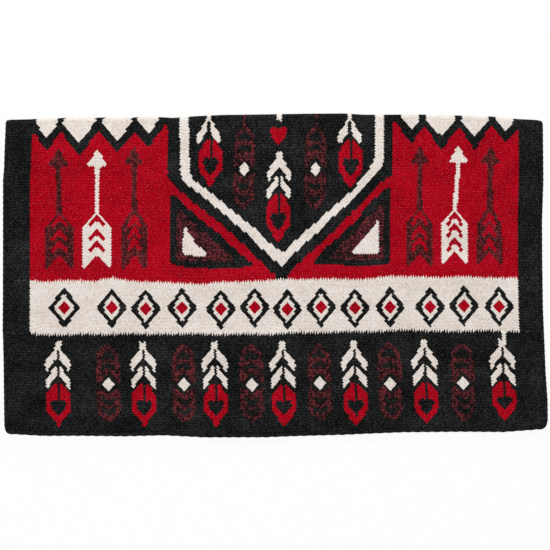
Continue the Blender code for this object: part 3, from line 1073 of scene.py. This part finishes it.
        # Each chevron's y at its peak, at its wing's upper and lower corner, and below its peak
        for peak, wing, wing_foot, fork in (
            (top + 5.0, top + 12.0, top + 17.0, top + 14.0),
            (top + 18.6, top + 22.0, top + 26.8, top + 24.6),
            (middle + 16.0, middle + 11.6, middle + 17.0, middle + 22.2),
            (bottom - 12.6, bottom - 16.6, bottom - 11.4, bottom - 6.4),
        ):
            chevron = [(0, peak), (inner, wing), (inner, wing_foot), (0, fork)]
            self.lay_pair(row.ground, warp, chevron)
        half = (6.0, 7.8) if row is FeatherRow.BAND else (5.2, 8.2)
        self._diamond(f"{row.value}_feather_diamonds", self.along(warp, middle), middle, *half)

    def _diamond(
        self, name: str, x: float, y: float, half_width: float, half_height: float,
        thin: bool = False,
    ) -> None:
        """Lay a diamond about the middle of the bump that is nearest to its own.

        Args:
            name: The diamond's area.
            x: Its middle, across.
            y: Its middle, along.
            half_width: Half its width.
            half_height: Half its height.
            thin: True to give it just the bumps whose middles it has.
        """
        warp = self.warp(x, y)
        y = self.bump_y(warp, y)
        x = self.along(warp, y)
        self.lay(
            name,
            [(x, y - half_height), (x + half_width, y), (x, y + half_height), (x - half_width, y)],
            thin,
        )

    def _medallion_motifs(self) -> None:
        """Lay the feathers and the heart in the medallion."""
        row, cream = FeatherRow.MEDALLION, "medallion_feathers_cream"
        vane = [
            (0.0, 112.0), (1.8, 112.0), (2.4, 118.6), (5.8, 125.4), (10.2, 131.8),
            (12.0, 136.6), (11.6, 142.4), (7.8, 142.4), (5.2, 136.4), (1.6, 131.4),
            (1.2, 119.4), (0.0, 118.8),
        ]
        for centre, leaf, end in ((208.8, 210.8, 187.8), (350.2, 350.4, 190.0)):
            self.lay_pair(cream, self.warp(centre, 120), vane)
            self._leaf(row, self.warp(leaf, 165), 139.0, end)
        self._quill_feather(row, 279.0, 150.4, 244.2)
        heart = [
            (0.0, 128.6), (3.8, 126.4), (7.4, 126.8), (8.2, 129.6), (8.0, 133.4),
            (4.7, 138.6), (0.8, 145.0), (0.0, 145.0),
        ]
        self.lay_pair("medallion_feathers_red", self.warp(278.2, 135), heart)
        quill = [
            (276.6, TOP), (282.0, TOP), (282.0, 118.6), (281.2, 122), (279.2, 119.6),
            (276.4, 121.8),
        ]
        self.lay(cream, quill)
        for centre in (243.6, 316.0):
            self._slit("medallion_feathers_maroon", self.warp(centre, 150), TOP, 126)
            self._dark_feather(row, centre, 124.6, 209.8, 10.4)

    def _band_diamonds(self) -> None:
        """Lay the cream band's diamonds, each a black ring with a red core."""
        for centre in BAND_DIAMONDS:
            wide = 16.2 if centre == BAND_DIAMONDS[0] else 15.0
            rise = 308.2 if centre < 300 else 306.6
            self._diamond("band_diamonds", centre, rise, wide, 20.6)
            self._diamond("cream_band", centre, rise, wide - 5.9, 14.4)
            self._diamond("band_diamond_cores", centre, rise, 6.1, 7.4, thin=True)

    def _end_band(self) -> None:
        """Lay the feathers of the end band."""
        for sizes in QUILL_FEATHERS:
            self._quill_feather(FeatherRow.BAND, *sizes)
        # The last feather's quill reaches the cream band.
        self.lay("band_feathers_cream", [(501.8, 328), (506, 328), (506, 346), (501.8, 346)])
        for centre in MAROON_FEATHERS:
            rise = 0.0 if centre < 300 else 1.2
            self._dark_feather(FeatherRow.BAND, centre, 343.6 - rise, 423.0 - rise, 11.4)


def inside(points: Points | Line, x: np.ndarray, y: np.ndarray) -> np.ndarray:
    """Tell which places lie inside an outline.

    Args:
        points: The outline's corners.
        x: The places' x.
        y: The places' y.

    Returns:
        True for each place inside.
    """
    found = np.zeros(x.shape, bool)
    for (ax, ay), (bx, by) in zip(points, points[1:] + points[:1]):
        crosses = (ay > y) != (by > y)
        reach = (bx - ax) * (y - ay) / (by - ay if by != ay else 1.0) + ax
        found ^= crosses & (x < reach)
    return found


def only(piece: bpy.types.Object) -> None:
    """Select one object alone and make it active.

    Args:
        piece: The object.
    """
    bpy.ops.object.select_all(action="DESELECT")
    piece.select_set(True)
    bpy.context.view_layer.objects.active = piece


@contextmanager
def editing(piece: bpy.types.Object) -> Iterator[None]:
    """Open one object in edit mode with all of it selected, and leave edit mode afterwards.

    Args:
        piece: The object.

    Yields:
        Nothing, while the object is in edit mode.
    """
    only(piece)
    bpy.ops.object.mode_set(mode="EDIT")
    bpy.ops.mesh.select_all(action="SELECT")
    yield
    bpy.ops.object.mode_set(mode="OBJECT")


def add_grid(name: str, columns: int, lines: int) -> bpy.types.Object:
    """Add a flat grid, whose vertices are then put in place.

    Args:
        name: Its name.
        columns: How many vertices it has to a line.
        lines: How many lines of vertices it has.

    Returns:
        The grid.
    """
    bpy.ops.object.select_all(action="DESELECT")
    bpy.ops.mesh.primitive_grid_add(
        x_subdivisions=columns - 1, y_subdivisions=lines - 1, size=2
    )
    grid = bpy.context.object
    grid.name = grid.data.name = name
    return grid


def put(piece: bpy.types.Object, u: np.ndarray, v: np.ndarray, w: np.ndarray) -> None:
    """Put a piece's vertices at their places on the cloth."""
    piece.data.vertices.foreach_set("co", LIE.place(u, v, w).astype(np.float32).ravel())


def point_values(mesh: bpy.types.Mesh, name: str) -> np.ndarray:
    """Read one whole number to a vertex.

    Args:
        mesh: The mesh.
        name: The attribute that holds the numbers.

    Returns:
        The numbers.
    """
    values = np.zeros(len(mesh.vertices), np.int32)
    mesh.attributes[name].data.foreach_get("value", values)
    return values


def face_corners(mesh: bpy.types.Mesh) -> np.ndarray:
    """Read the vertex at each corner of each face.

    Args:
        mesh: The mesh.

    Returns:
        Vertex numbers.
    """
    corners = np.zeros(len(mesh.loops), np.int32)
    mesh.loops.foreach_get("vertex_index", corners)
    return corners


def map_weave(mesh: bpy.types.Mesh, flat: np.ndarray) -> None:
    """Give a mesh its weave map in place of the maps that it has.

    Args:
        mesh: The mesh.
        flat: Where each corner of each face is on the map, in metres.
    """
    for layer in list(mesh.uv_layers):
        mesh.uv_layers.remove(layer)
    mesh.uv_layers.new(name="weave").data.foreach_set("uv", flat.astype(np.float32).ravel())


def bend_over_fold(piece: bpy.types.Object) -> None:
    """Bake a piece that runs over the fold into the world frame. It rides on neither half."""
    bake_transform(piece)


def report(piece: bpy.types.Object) -> None:
    """Log a finished piece."""
    LOG.info("%s: %d faces", piece.name, len(piece.data.polygons))


@dataclass
class Tapestry:
    """The woven cloth: one grid, cut into an object for each area of one yarn."""

    finishes: dict[Yarn, WoolFinish]
    areas: list[Area] = field(init=False)
    border_columns: tuple[int, int] = (20, 18)
    inner_uv_offset: float = 1.0
    fold_uv_rows: float = 4.0
    # Where a bump's diamond is looked at, in ninths of a rib and of a row, its middle first
    samples: tuple[tuple[int, int], ...] = (
        (0, 0), (3, 3), (3, -3), (-3, 3), (-3, -3), (0, 6), (0, -6), (6, 0), (-6, 0),
    )
    # The medallion's slopes: the pixel at which they meet, their fall, half the height of the
    # strip along them, and how far its passes shift, to one side and the other by turns
    slopes_meet: tuple[float, float] = (281.5, 271.0)
    slopes_fall: float = 0.9
    slopes_reach: float = 20.0
    slopes_turn: float = 0.25
    cartoon: Cartoon = field(default_factory=Cartoon)

    def __post_init__(self) -> None:
        """List the areas, in the order of their numbers."""
        over = Carry.OVER_FOLD
        border = ("border",)
        self.areas = [
            Area("side_border_left", Yarn.BLACK, over, border),
            Area("side_border_right", Yarn.BLACK, over, border),
            Area("end_band", Yarn.BLACK, nodes=border),
            Area("cream_band", Yarn.CREAM, nodes=("cream_band",)),
            Area("medallion_field", Yarn.BLACK, over, ("medallion_field",)),
            Area("cream_line", Yarn.CREAM, over, ("cream_line",)),
            Area("black_line", Yarn.BLACK, over, ("black_line",)),
            Area("medallion_feathers_cream", Yarn.CREAM, over),
            Area("medallion_feathers_maroon", Yarn.DULL_MAROON, over),
            Area("medallion_feathers_red", Yarn.RED),
            Area("medallion_feather_diamonds", Yarn.CREAM),
            Area("band_diamonds", Yarn.BLACK),
            Area("band_diamond_cores", Yarn.RED),
            Area("band_feathers_cream", Yarn.CREAM),
            Area("band_feathers_red", Yarn.RED),
            Area("band_feathers_maroon", Yarn.DULL_MAROON),
            Area("band_feather_diamonds", Yarn.CREAM),
        ]
        for side in ("left", "right"):
            self.areas.append(Area(f"red_panel_{side}", Yarn.RED, nodes=(f"red_panel_{side}",)))
            for count in range(1, 5):
                name = f"tooth_{side}_{count}"
                self.areas.append(Area(name, Yarn.CREAM, over, (name,)))
            for count, yarn in enumerate((Yarn.MAROON, Yarn.CREAM, Yarn.MAROON), 1):
                name = f"arrow_{side}_{count}"
                self.areas.append(Area(name, yarn, nodes=(name,)))
            for yarn in (Yarn.BLACK, Yarn.DULL_MAROON, Yarn.CREAM):
                name = f"corner_{side}_{yarn.slot.removesuffix('_wool')}"
                self.areas.append(Area(name, yarn, nodes=(name,)))

    def _number(self, name: str) -> int:
        """The number of an area, by its name."""
        return next(i for i, area in enumerate(self.areas) if area.name == name)

    def _crosses(self, numbers: np.ndarray) -> np.ndarray:
        """True for each area number whose area bends over the fold."""
        return np.array([area.carry is Carry.OVER_FOLD for area in self.areas])[numbers]

    def weave_plan(self) -> np.ndarray:
        """Choose the area of each bump of a half.

        Returns:
            Area numbers, one row to a grid column and one column to a row of weft.
        """
        side, end = np.array(self.samples).T / 9
        column, row, _ = np.meshgrid(
            np.arange(WEAVE.columns), np.arange(WEAVE.rows), side, indexing="ij"
        )
        x, y = LIE.pixel(WEAVE.across(column + side), WEAVE.place_of_row(row + 0.5 + end))
        # On the medallion's slopes the yarns turn back further on every other pass.
        meet_x, meet_y = self.slopes_meet
        slopes = np.abs(y - meet_y + self.slopes_fall * np.abs(x - meet_x)) < self.slopes_reach
        turn = np.where(row // 2 % 2, self.slopes_turn, -self.slopes_turn)
        x = x + np.where(slopes, turn, 0.0)
        panel_rows, end_rows = row < WEAVE.band_start, row >= WEAVE.band_end
        band_rows = ~panel_rows & ~end_rows
        plan = np.full(x.shape, self._number("end_band"))
        plan[band_rows] = self._number("cream_band")
        self.cartoon.draw()
        for name, points, thin in self.cartoon.shapes:
            if name.startswith("band_diamond") or name == "cream_band":
                near = band_rows.copy()
            elif name.startswith("band_") or name == "end_band":
                near = end_rows.copy()
            else:
                near = panel_rows.copy()
            xs, ys = zip(*points)
            near &= (x >= min(xs)) & (x <= max(xs)) & (y >= min(ys)) & (y <= max(ys))
            near[near] = inside(points, x[near], y[near])
            if thin:
                near |= near[:, :, :1]
                near &= near[:, :, :1]
            plan[near] = self._number(name)
        best = np.zeros(plan.shape[:2], int)
        most = np.zeros(plan.shape[:2])
        for number in range(len(self.areas)):
            share = (plan == number).sum(axis=2)
            best = np.where(share > most, number, best)
            most = np.maximum(most, share)
        best = self._without_lone_bumps(best)
        left, right = self.border_columns
        best[:left, : WEAVE.band_end] = self._number("side_border_left")
        best[-right:, : WEAVE.band_end] = self._number("side_border_right")
        # Only what bends over the fold is woven in its first row.
        first = best[:, 0]
        best[:, 0] = np.where(self._crosses(first), first, self._number("black_line"))
        return best

    def _without_lone_bumps(self, plan: np.ndarray) -> np.ndarray:
        """Give a bump that stands alone or sticks out the yarn of its neighbours.

        Args:
            plan: Area numbers by column and row.

        Returns:
            The plan without bumps that touch none of their area's others, and without those
            that touch only one of them and stick out of a large area into another.
        """
        around = [
            plan[1 + side : plan.shape[0] - 1 + side, 1 + end : plan.shape[1] - 1 + end]
            for side in (-1, 1)
            for end in (-1, 1)
        ]
        inner = plan[1:-1, 1:-1]
        majority = np.where(around[0] == around[3], around[0], around[1])
        same, agreed = (
            sum((these == other).astype(int) for other in around) for these in (inner, majority)
        )
        large = np.array([bool(area.nodes) for area in self.areas])
        spike = (same == 1) & (agreed == 3) & large[inner] & large[majority]
        mended = plan.copy()
        mended[1:-1, 1:-1] = np.where((same == 0) | spike, majority, inner)
        return mended

    def _lay_grid(self) -> tuple[bpy.types.Object, np.ndarray]:
        """Add the cloth's grid, flat, with the number of its column and line at each vertex.

        Returns:
            The grid, and the piece number of each face: twice the area's, plus 1 on the near
            half of an area that each half has for itself.
        """
        wide, tall = WEAVE.columns, len(WEAVE.lines())
        cloth = add_grid("cloth", wide, tall)
        index = np.arange(wide * tall)
        for name, values in (("column", index % wide), ("line", index // wide)):
            made = cloth.data.attributes.new(name, "INT", "POINT")
            made.data.foreach_set("value", values.astype(np.int32))
        # Each square is cut between the two hollows at its corners.
        square = np.arange((wide - 1) * (tall - 1))
        crest_first = WEAVE.is_crest(square % (wide - 1), square // (wide - 1))
        with editing(cloth):
            bpy.ops.mesh.select_mode(type="FACE")
            bpy.ops.mesh.select_all(action="DESELECT")
        cloth.data.polygons.foreach_set("select", ~crest_first)
        bpy.ops.object.mode_set(mode="EDIT")
        bpy.ops.mesh.quads_convert_to_tris(quad_method="FIXED", ngon_method="BEAUTY")
        bpy.ops.mesh.select_all(action="SELECT")
        bpy.ops.mesh.quads_convert_to_tris(quad_method="FIXED_ALTERNATE", ngon_method="BEAUTY")
        bpy.ops.object.mode_set(mode="OBJECT")
        corners = face_corners(cloth.data).reshape(-1, 3)
        crest = WEAVE.is_crest(corners % wide, corners // wide)
        if not (crest.sum(axis=1) == 1).all():
            raise ValueError("a cut square has its bumps' middles on one side")
        bump = corners[np.arange(len(corners)), crest.argmax(axis=1)]
        steps = WEAVE.steps(bump // wide)
        row = np.minimum(np.where(steps < 0, -1 - steps, steps), WEAVE.rows - 1)
        area = self.weave_plan()[bump % wide, row]
        return cloth, 2 * area + ((steps >= 0) & ~self._crosses(area))

    def _shape(self, piece: bpy.types.Object) -> None:
        """Give a cut piece its thickness, its bumps on both faces and its weave map.

        Args:
            piece: The flat piece, which becomes a closed solid.
        """
        mesh = piece.data
        # What is extruded becomes the outer face, and what was there the inner one.
        inner_count = len(mesh.vertices)
        with editing(piece):
            bpy.ops.mesh.extrude_region()
        column, line = point_values(mesh, "column"), point_values(mesh, "line")
        on_inner = np.arange(len(mesh.vertices)) < inner_count
        w = WEAVE.crest - WEAVE.depth(column, line)
        put(piece, *WEAVE.place(column, line), np.where(on_inner, WEAVE.thickness - w, w))
        self._map_faces(mesh, column, line, on_inner)
        ends = np.zeros(2 * len(mesh.edges), np.int32)
        mesh.edges.foreach_get("vertices", ends)
        # Each bump is round, and two bumps meet in a crease.
        hollow = ~WEAVE.is_crest(column, line)
        crease = mesh.attributes.new("sharp_edge", "BOOLEAN", "EDGE")
        crease.data.foreach_set("value", hollow[ends[::2]] & hollow[ends[1::2]])
        for name in ("column", "line"):
            mesh.attributes.remove(mesh.attributes[name])
        mesh.flip_normals()
        mesh.update()

    def _map_faces(
        self, mesh: bpy.types.Mesh, column: np.ndarray, line: np.ndarray, on_inner: np.ndarray
    ) -> None:
        """Map the weave, so that a rib is 2 mm wide on the map and a row is as tall as all are.

        Args:
            mesh: A piece's mesh.
            column: The column of each of its vertices.
            line: The line of each.
            on_inner: True for each of the inner face.
        """
        # The map opens out at the fold, where the bridged strip opens too.
        steps = WEAVE.steps(line)
        rows = steps + np.where(steps < 0, 2 - self.fold_uv_rows, self.fold_uv_rows)
        flat = np.stack([column * WEAVE.rib_mm, rows * WEAVE.row_mm], axis=-1) * MM
        corners = face_corners(mesh)
        total = np.zeros(len(mesh.polygons), np.int32)
        mesh.polygons.foreach_get("loop_total", total)
        # The cloth's faces are triangles, and the walls at its turns are squares.
        is_wall = total == 4
        on_wall = np.repeat(is_wall, total)
        flat = flat[corners]
        inner = on_inner[corners]
        flat[:, 0] += np.where(inner & ~on_wall, self.inner_uv_offset, 0.0)
        flat[:, 1] += np.where(inner & on_wall, WEAVE.thickness * MM, 0.0)
        map_weave(mesh, flat)
        sharp = mesh.attributes.new("sharp_face", "BOOLEAN", "FACE")
        sharp.data.foreach_set("value", is_wall)

    def _dress(self, piece: bpy.types.Object, area: Area, half: Half | None) -> None:
        """Name a piece, give it its yarn, put it on its half's body if it has a half, and hide the
        CAD parts that it stands for.

        Args:
            piece: The shaped piece.
            area: The area that it is.
            half: The half that it is on, or None for a piece that bends over the fold.
        """
        halves = [half] if half else list(Half)
        name = f"{half.value}_{area.name}_weft" if half else f"{area.name}_weft"
        piece.name = piece.data.name = name
        piece.data.materials.clear()
        piece.data.materials.append(self.finishes[area.yarn].material())
        zeros = np.zeros(len(piece.data.polygons), np.int32)
        piece.data.polygons.foreach_set("material_index", zeros)
        if half:
            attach(piece, half.body)
        else:
            bend_over_fold(piece)
        for node in area.nodes:
            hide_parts(*(f"{each.value}_{node}" for each in halves))

    def build(self) -> list[bpy.types.Object]:
        """Weave the cloth and cut it into its areas.

        Returns:
            The pieces.
        """
        cloth, numbers = self._lay_grid()
        used = np.unique(numbers)
        for number in used:
            cloth.data.materials.append(bpy.data.materials.new(f"cut_{number}"))
        slots = np.searchsorted(used, numbers)
        cloth.data.polygons.foreach_set("material_index", slots.astype(np.int32).ravel())
        with editing(cloth):
            bpy.ops.mesh.separate(type="MATERIAL")
        pieces = list(bpy.context.selected_objects)
        for piece in pieces:
            number = int(piece.data.materials[0].name.removeprefix("cut_"))
            area = self.areas[number // 2]
            self._shape(piece)
            half = None
            if area.carry is Carry.EACH_HALF:
                half = Half.NEAR if number % 2 else Half.OFF
            self._dress(piece, area, half)
        for number in used:
            bpy.data.materials.remove(bpy.data.materials[f"cut_{number}"])
        return sorted(pieces, key=lambda piece: piece.name)


@dataclass
class EdgeCord:
    """A cord of black weft along one edge, rolled from a strip of grid."""

    name: str
    nodes: tuple[str, ...]
    finish: WoolFinish
    radius: float = 3.0
    around: int = 12
    # How far inside the cloth's edge it lies
    inset: float = 0.35
    # The rings that round an end off, in shares of the radius from it
    end_rings: tuple[float, ...] = (0, 0.1, 0.3, 0.6, 0.9)

    def _turn(self) -> np.ndarray:
        """The angles round the cord, from one long edge of its strip to the other."""
        return np.linspace(0, math.tau, self.around + 1)

    def _taper(self, along: np.ndarray, reach: float) -> np.ndarray:
        """Round both ends of the cord off.

        Args:
            along: The places of its rings.
            reach: How far it goes from its middle.

        Returns:
            Each ring's radius.
        """
        left = np.minimum(along + reach, reach - along) / self.radius
        return self.radius * np.sqrt(np.clip(1 - (1 - np.clip(left, 0, 1)) ** 2, 0, 1))

    def _roll(
        self, along: np.ndarray, u: np.ndarray, v: np.ndarray, w: np.ndarray
    ) -> bpy.types.Object:
        """Roll a strip into the cord, weld its long edges and its ends, and give it its wool.

        Args:
            along: How far along the cord each ring is.
            u: Places across the cloth, one row to a ring.
            v: Distances from the fold.
            w: Heights above the inner face.

        Returns:
            The cord.
        """
        cord = add_grid(self.name, self.around + 1, len(along))
        put(cord, u, v, w)
        turn = np.broadcast_to(self._turn() * self.radius, u.shape)
        flat = np.stack([turn, np.broadcast_to(along[:, None], u.shape)], axis=-1) * MM
        map_weave(cord.data, flat.reshape(-1, 2)[face_corners(cord.data)])
        with editing(cord):
            bpy.ops.mesh.remove_doubles(threshold=1e-6)
            bpy.ops.mesh.normals_make_consistent(inside=False)
        bpy.ops.object.shade_smooth()
        cord.data.materials.append(self.finish.material())
        return cord

    def _tie(self, cord: bpy.types.Object) -> None:
        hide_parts(*self.nodes)


@dataclass
class SelvedgeCord(EdgeCord):
    """The edge along a side, where each pass of weft turns round the outer warps."""

    towards: int = -1
    # How much a pass swells it, and how flat it is beaten
    swell: float = 0.08
    flatness: float = 0.94

    def build(self) -> bpy.types.Object:
        """Run the cord from the off end over the fold to the near end.

        Returns:
            The cord.
        """
        reach = LIE.half_length
        tip = reach - self.radius * np.array(self.end_rings[::-1])
        half = np.concatenate([WEAVE.half_lines()[:-1], tip])
        along = np.concatenate([-half[::-1], half])
        beat = 1 + self.swell * np.cos(math.pi / 2 * (WEAVE.row_at(along) - 0.5))
        size = (self._taper(along, reach) * beat)[:, None]
        turn = self._turn()
        u = self.towards * (LIE.half_width - self.radius - self.inset + size * np.cos(turn))
        w = self.radius + size * self.flatness * np.sin(turn)
        cord = self._roll(along, u, np.broadcast_to(along[:, None], u.shape), w)
        bend_over_fold(cord)
        self._tie(cord)
        return cord


@dataclass
class EndCord(EdgeCord):
    """Two strands twined along an end, which lock the last row of weft."""

    half: Half = Half.NEAR
    twist_mm: float = 15.0
    ring_mm: float = 2.0
    # How far it stops short of the selvedge
    short: float = 1.2
    # How much each strand stands out, and how flat the cord is beaten
    lobe: float = 0.11
    flatness: float = 0.92

    def build(self) -> bpy.types.Object:
        """Run the cord along the end, from one selvedge cord to the other.

        Returns:
            The cord.
        """
        reach = LIE.half_width - self.short
        even = reach - 2 * self.ring_mm
        middle = np.arange(-even, even + 0.1, self.ring_mm)
        tip = self.radius * np.array(self.end_rings)
        along = np.concatenate([-reach + tip, middle, (reach - tip)[::-1]])
        turn = self._turn()
        strands = np.cos(2 * turn - math.tau * along[:, None] / self.twist_mm)
        size = self._taper(along, reach)[:, None] * (1 + self.lobe * strands)
        sign = 1.0 if self.half is Half.NEAR else -1.0
        v = sign * (LIE.half_length - self.radius - self.inset + size * np.cos(turn))
        w = self.radius + size * self.flatness * np.sin(turn)
        cord = self._roll(along, np.broadcast_to(along[:, None], v.shape), v, w)
        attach(cord, self.half.body)
        self._tie(cord)
        return cord


@dataclass
class WarpSheet:
    """The cotton warps inside the weave, one thin sheet from end to end and side to side."""

    finish: CottonFinish = field(default_factory=CottonFinish)
    thickness: float = 1.6
    inset: float = 1.5
    columns: int = 108
    # It has a line of vertices at every third of the cloth's rows.
    row_step: int = 3
    smooth_degrees: float = 40.0
    name: str = "cotton_warps"

    def build(self, woven: list[bpy.types.Object]) -> bpy.types.Object:
        """Args:
            woven: The pieces woven or wound on them. It is not used.

        Returns:
            The sheet of warps.
        """
        end = LIE.half_length - self.inset
        half = np.append(WEAVE.half_lines()[: -1 : self.row_step], end)
        lines = np.concatenate([-half[::-1], half])
        sheet = add_grid(self.name, self.columns + 1, len(lines))
        mesh = sheet.data
        across = np.linspace(-1, 1, self.columns + 1) * (LIE.half_width - self.inset)
        u, v = np.meshgrid(across, lines)
        put(sheet, u, v, np.full(u.shape, WEAVE.thickness / 2))
        map_weave(mesh, np.stack([u, v], axis=-1).reshape(-1, 2)[face_corners(mesh)] * MM)
        solid = sheet.modifiers.new("thickness", "SOLIDIFY")
        solid.thickness = self.thickness * MM
        solid.offset = 0.0
        only(sheet)
        bpy.ops.object.modifier_apply(modifier=solid.name)
        with editing(sheet):
            bpy.ops.mesh.normals_make_consistent(inside=False)
        bpy.ops.object.shade_smooth_by_angle(angle=math.radians(self.smooth_degrees))
        mesh.materials.append(self.finish.material())
        bend_over_fold(sheet)
        return sheet


@dataclass
class Studio:
    """A pale floor, soft light from all round, a softbox beyond the fold, and the camera."""

    floor_colour: str = "F4F4F3"
    floor_size: float = 14.0
    floor_gap: float = 0.0004
    # How dark the paper's grain gets, and how much of the floor looks lit by itself
    grain_level: float = 0.985
    floor_glow: float = 0.93
    sky_level: float = 0.76
    softbox_watts: float = 37.0
    softbox_place: tuple[float, float, float] = (-0.3, 2.0, 1.6)
    softbox_size: tuple[float, float] = (1.2, 1.6)
    # The camera's place above the blanket's upper face
    camera_height: float = 2.43
    camera_y: float = -0.0032
    blanket_height: float = 0.0143
    lens_mm: float = 100.0
    sensor_mm: float = 36.0
    sees_to: float = 50.0

    def build(self) -> None:
        """Set up the floor, the light and the camera."""
        self._floor()
        self._sky()
        self._softbox()
        self._camera()
        bpy.context.scene.view_settings.view_transform = "Standard"

    def _floor(self) -> None:
        """Lay a floor that the camera sees as white, apart from the blanket's soft shadow."""
        bpy.ops.mesh.primitive_plane_add(size=self.floor_size, location=(0, 0, -self.floor_gap))
        floor = bpy.context.object
        floor.name = "studio_floor"
        made = bpy.data.materials.new("matt_white_paper")
        made.use_nodes = True
        tree = made.node_tree
        tree.nodes.clear()
        grain = add_node(tree, "ShaderNodeTexNoise", values={"Scale": 9.0, "Detail": 2.0})
        tone = add_node(
            tree, "ShaderNodeMapRange", values={"To Min": self.grain_level, "To Max": 1.0},
            links={"Value": grain.outputs["Fac"]},
        )
        paper = add_node(
            tree, "ShaderNodeMix", {"data_type": "RGBA", "blend_type": "MULTIPLY"},
            {"Factor": 1.0, 6: linear(self.floor_colour)}, {7: tone.outputs["Result"]},
        )
        matt = add_node(tree, "ShaderNodeBsdfDiffuse", links={"Color": paper.outputs[2]})
        glow = add_node(
            tree, "ShaderNodeEmission", values={"Color": (1, 1, 1, 1), "Strength": 1.0}
        )
        # It glows for what is seen straight, in a reflection or through a clear thing.
        rays = add_node(tree, "ShaderNodeLightPath").outputs
        seen = rays["Is Camera Ray"]
        for ray in ("Is Glossy Ray", "Is Transmission Ray"):
            either = add_node(
                tree, "ShaderNodeMath", {"operation": "MAXIMUM"}, links={0: seen, 1: rays[ray]}
            )
            seen = either.outputs[0]
        share = add_node(
            tree, "ShaderNodeMath", {"operation": "MULTIPLY"}, {1: self.floor_glow}, {0: seen}
        )
        mixed = add_node(
            tree, "ShaderNodeMixShader",
            links={0: share.outputs[0], 1: matt.outputs["BSDF"], 2: glow.outputs["Emission"]},
        )
        add_node(tree, "ShaderNodeOutputMaterial", links={"Surface": mixed.outputs["Shader"]})
        floor.data.materials.append(made)

    def _sky(self) -> None:
        """Light the blanket evenly from all round, and show white behind it."""
        world = bpy.data.worlds.new("soft_studio")
        bpy.context.scene.world = world
        world.use_nodes = True
        tree = world.node_tree
        tree.nodes.clear()
        path = add_node(tree, "ShaderNodeLightPath")
        level = add_node(
            tree, "ShaderNodeMapRange", values={"To Min": self.sky_level, "To Max": 1.0},
            links={"Value": path.outputs["Is Camera Ray"]},
        )
        sky = add_node(
            tree, "ShaderNodeBackground", values={"Color": (1, 1, 1, 1)},
            links={"Strength": level.outputs["Result"]},
        )
        add_node(tree, "ShaderNodeOutputWorld", links={"Surface": sky.outputs["Background"]})

    def _softbox(self) -> None:
        """Hang a large softbox beyond the fold, which brings out the bumps."""
        bpy.ops.object.light_add(type="AREA", location=self.softbox_place)
        lamp = bpy.context.object
        lamp.name = "softbox"
        lamp.data.energy = self.softbox_watts
        lamp.data.shape = "RECTANGLE"
        lamp.data.size, lamp.data.size_y = self.softbox_size
        aim = -lamp.location
        lamp.rotation_mode = "QUATERNION"
        lamp.rotation_quaternion = aim.to_track_quat("-Z", "Y")

    def _camera(self) -> None:
        """Look straight down on the near half, as the photograph does."""
        height = self.blanket_height + self.camera_height
        bpy.ops.object.camera_add(location=(0, self.camera_y, height))
        camera = bpy.context.object
        camera.name = "camera_above"
        camera.rotation_euler = (0, 0, 0)
        camera.data.lens = self.lens_mm
        camera.data.sensor_width = self.sensor_mm
        camera.data.clip_end = self.sees_to
        bpy.context.scene.camera = camera


def wool_finishes() -> dict[Yarn, WoolFinish]:
    """Give the wools their colours.

    Returns:
        A finish for each yarn.
    """
    wools = (
        # Each wool's hollow and groove values are painted shade between its bumps.
        # Near-black dye. Its pale shade and grey flecks stand partly for lighter fibres and partly
        # for painted sheen where the fibres lift, and its dark hollows are painted shade.
        WoolFinish(
            Yarn.BLACK, deep="08090A", body="191A1B", pale="3A3B3C", fleck="7C7C78",
            fleck_share=0.6, sheen=0.05, specular=0.06, hollow=0.16, groove_shade=0.55, spread=0.10,
        ),
        # A strong crimson, darker in the twist and pinker where it is hairy.
        WoolFinish(
            Yarn.RED, deep="840010", body="B40018", pale="CE0C2A", fleck="E87884",
            fleck_share=0.6, sheen=0.02, specular=0.05, hollow=0.66, groove_shade=0.78, spread=0.14,
        ),
        # Undyed cream fleece.
        WoolFinish(
            Yarn.CREAM, deep="D2C6BB", body="E9E0D8", pale="F5F0EA", fleck="C8B6A8",
            fleck_share=0.6, sheen=0.05, specular=0.1, hollow=0.86, groove_shade=0.97, spread=0.13,
            heather_mm=(1.7, 5.2),
        ),
        # Dark red dyed over grey fleece, so that it looks heathered.
        WoolFinish(
            Yarn.MAROON, deep="201614", body="561E22", pale="8E363C", fleck="9C6062",
            fleck_share=0.5, sheen=0.05, specular=0.08, hollow=0.45, groove_shade=0.6, spread=0.13,
            single=0.3,
        ),
        # The same over darker fleece: single bumps look red and others almost black.
        WoolFinish(
            Yarn.DULL_MAROON, deep="141011", body="462224", pale="82343A", fleck="A06064",
            fleck_share=0.4, sheen=0.05, specular=0.08, hollow=0.35, groove_shade=0.6, spread=0.14,
            single=0.4,
        ),
    )
    return {wool.yarn: wool for wool in wools}


def main() -> None:
    """Build the blanket piece by piece, then the studio round it."""
    logging.basicConfig(level=logging.INFO, format="%(name)s: %(message)s")
    finishes = wool_finishes()
    woven = Tapestry(finishes).build()
    for piece in woven:
        report(piece)
    cords: list[SelvedgeCord | EndCord] = [
        SelvedgeCord(
            f"selvedge_cord_{side}",
            tuple(f"{half.value}_selvedge_cord_{side}" for half in Half),
            finishes[Yarn.BLACK],
            towards=towards,
        )
        for side, towards in (("left", -1), ("right", 1))
    ]
    cords += [
        EndCord(
            f"{half.value}_twined_end_cord",
            (f"{half.value}_end_cord",),
            finishes[Yarn.BLACK],
            half=half,
        )
        for half in Half
    ]
    for cord in cords:
        woven.append(cord.build())
        report(woven[-1])
    report(WarpSheet().build(woven))
    Studio().build()


if __name__ == "__main__":
    main()
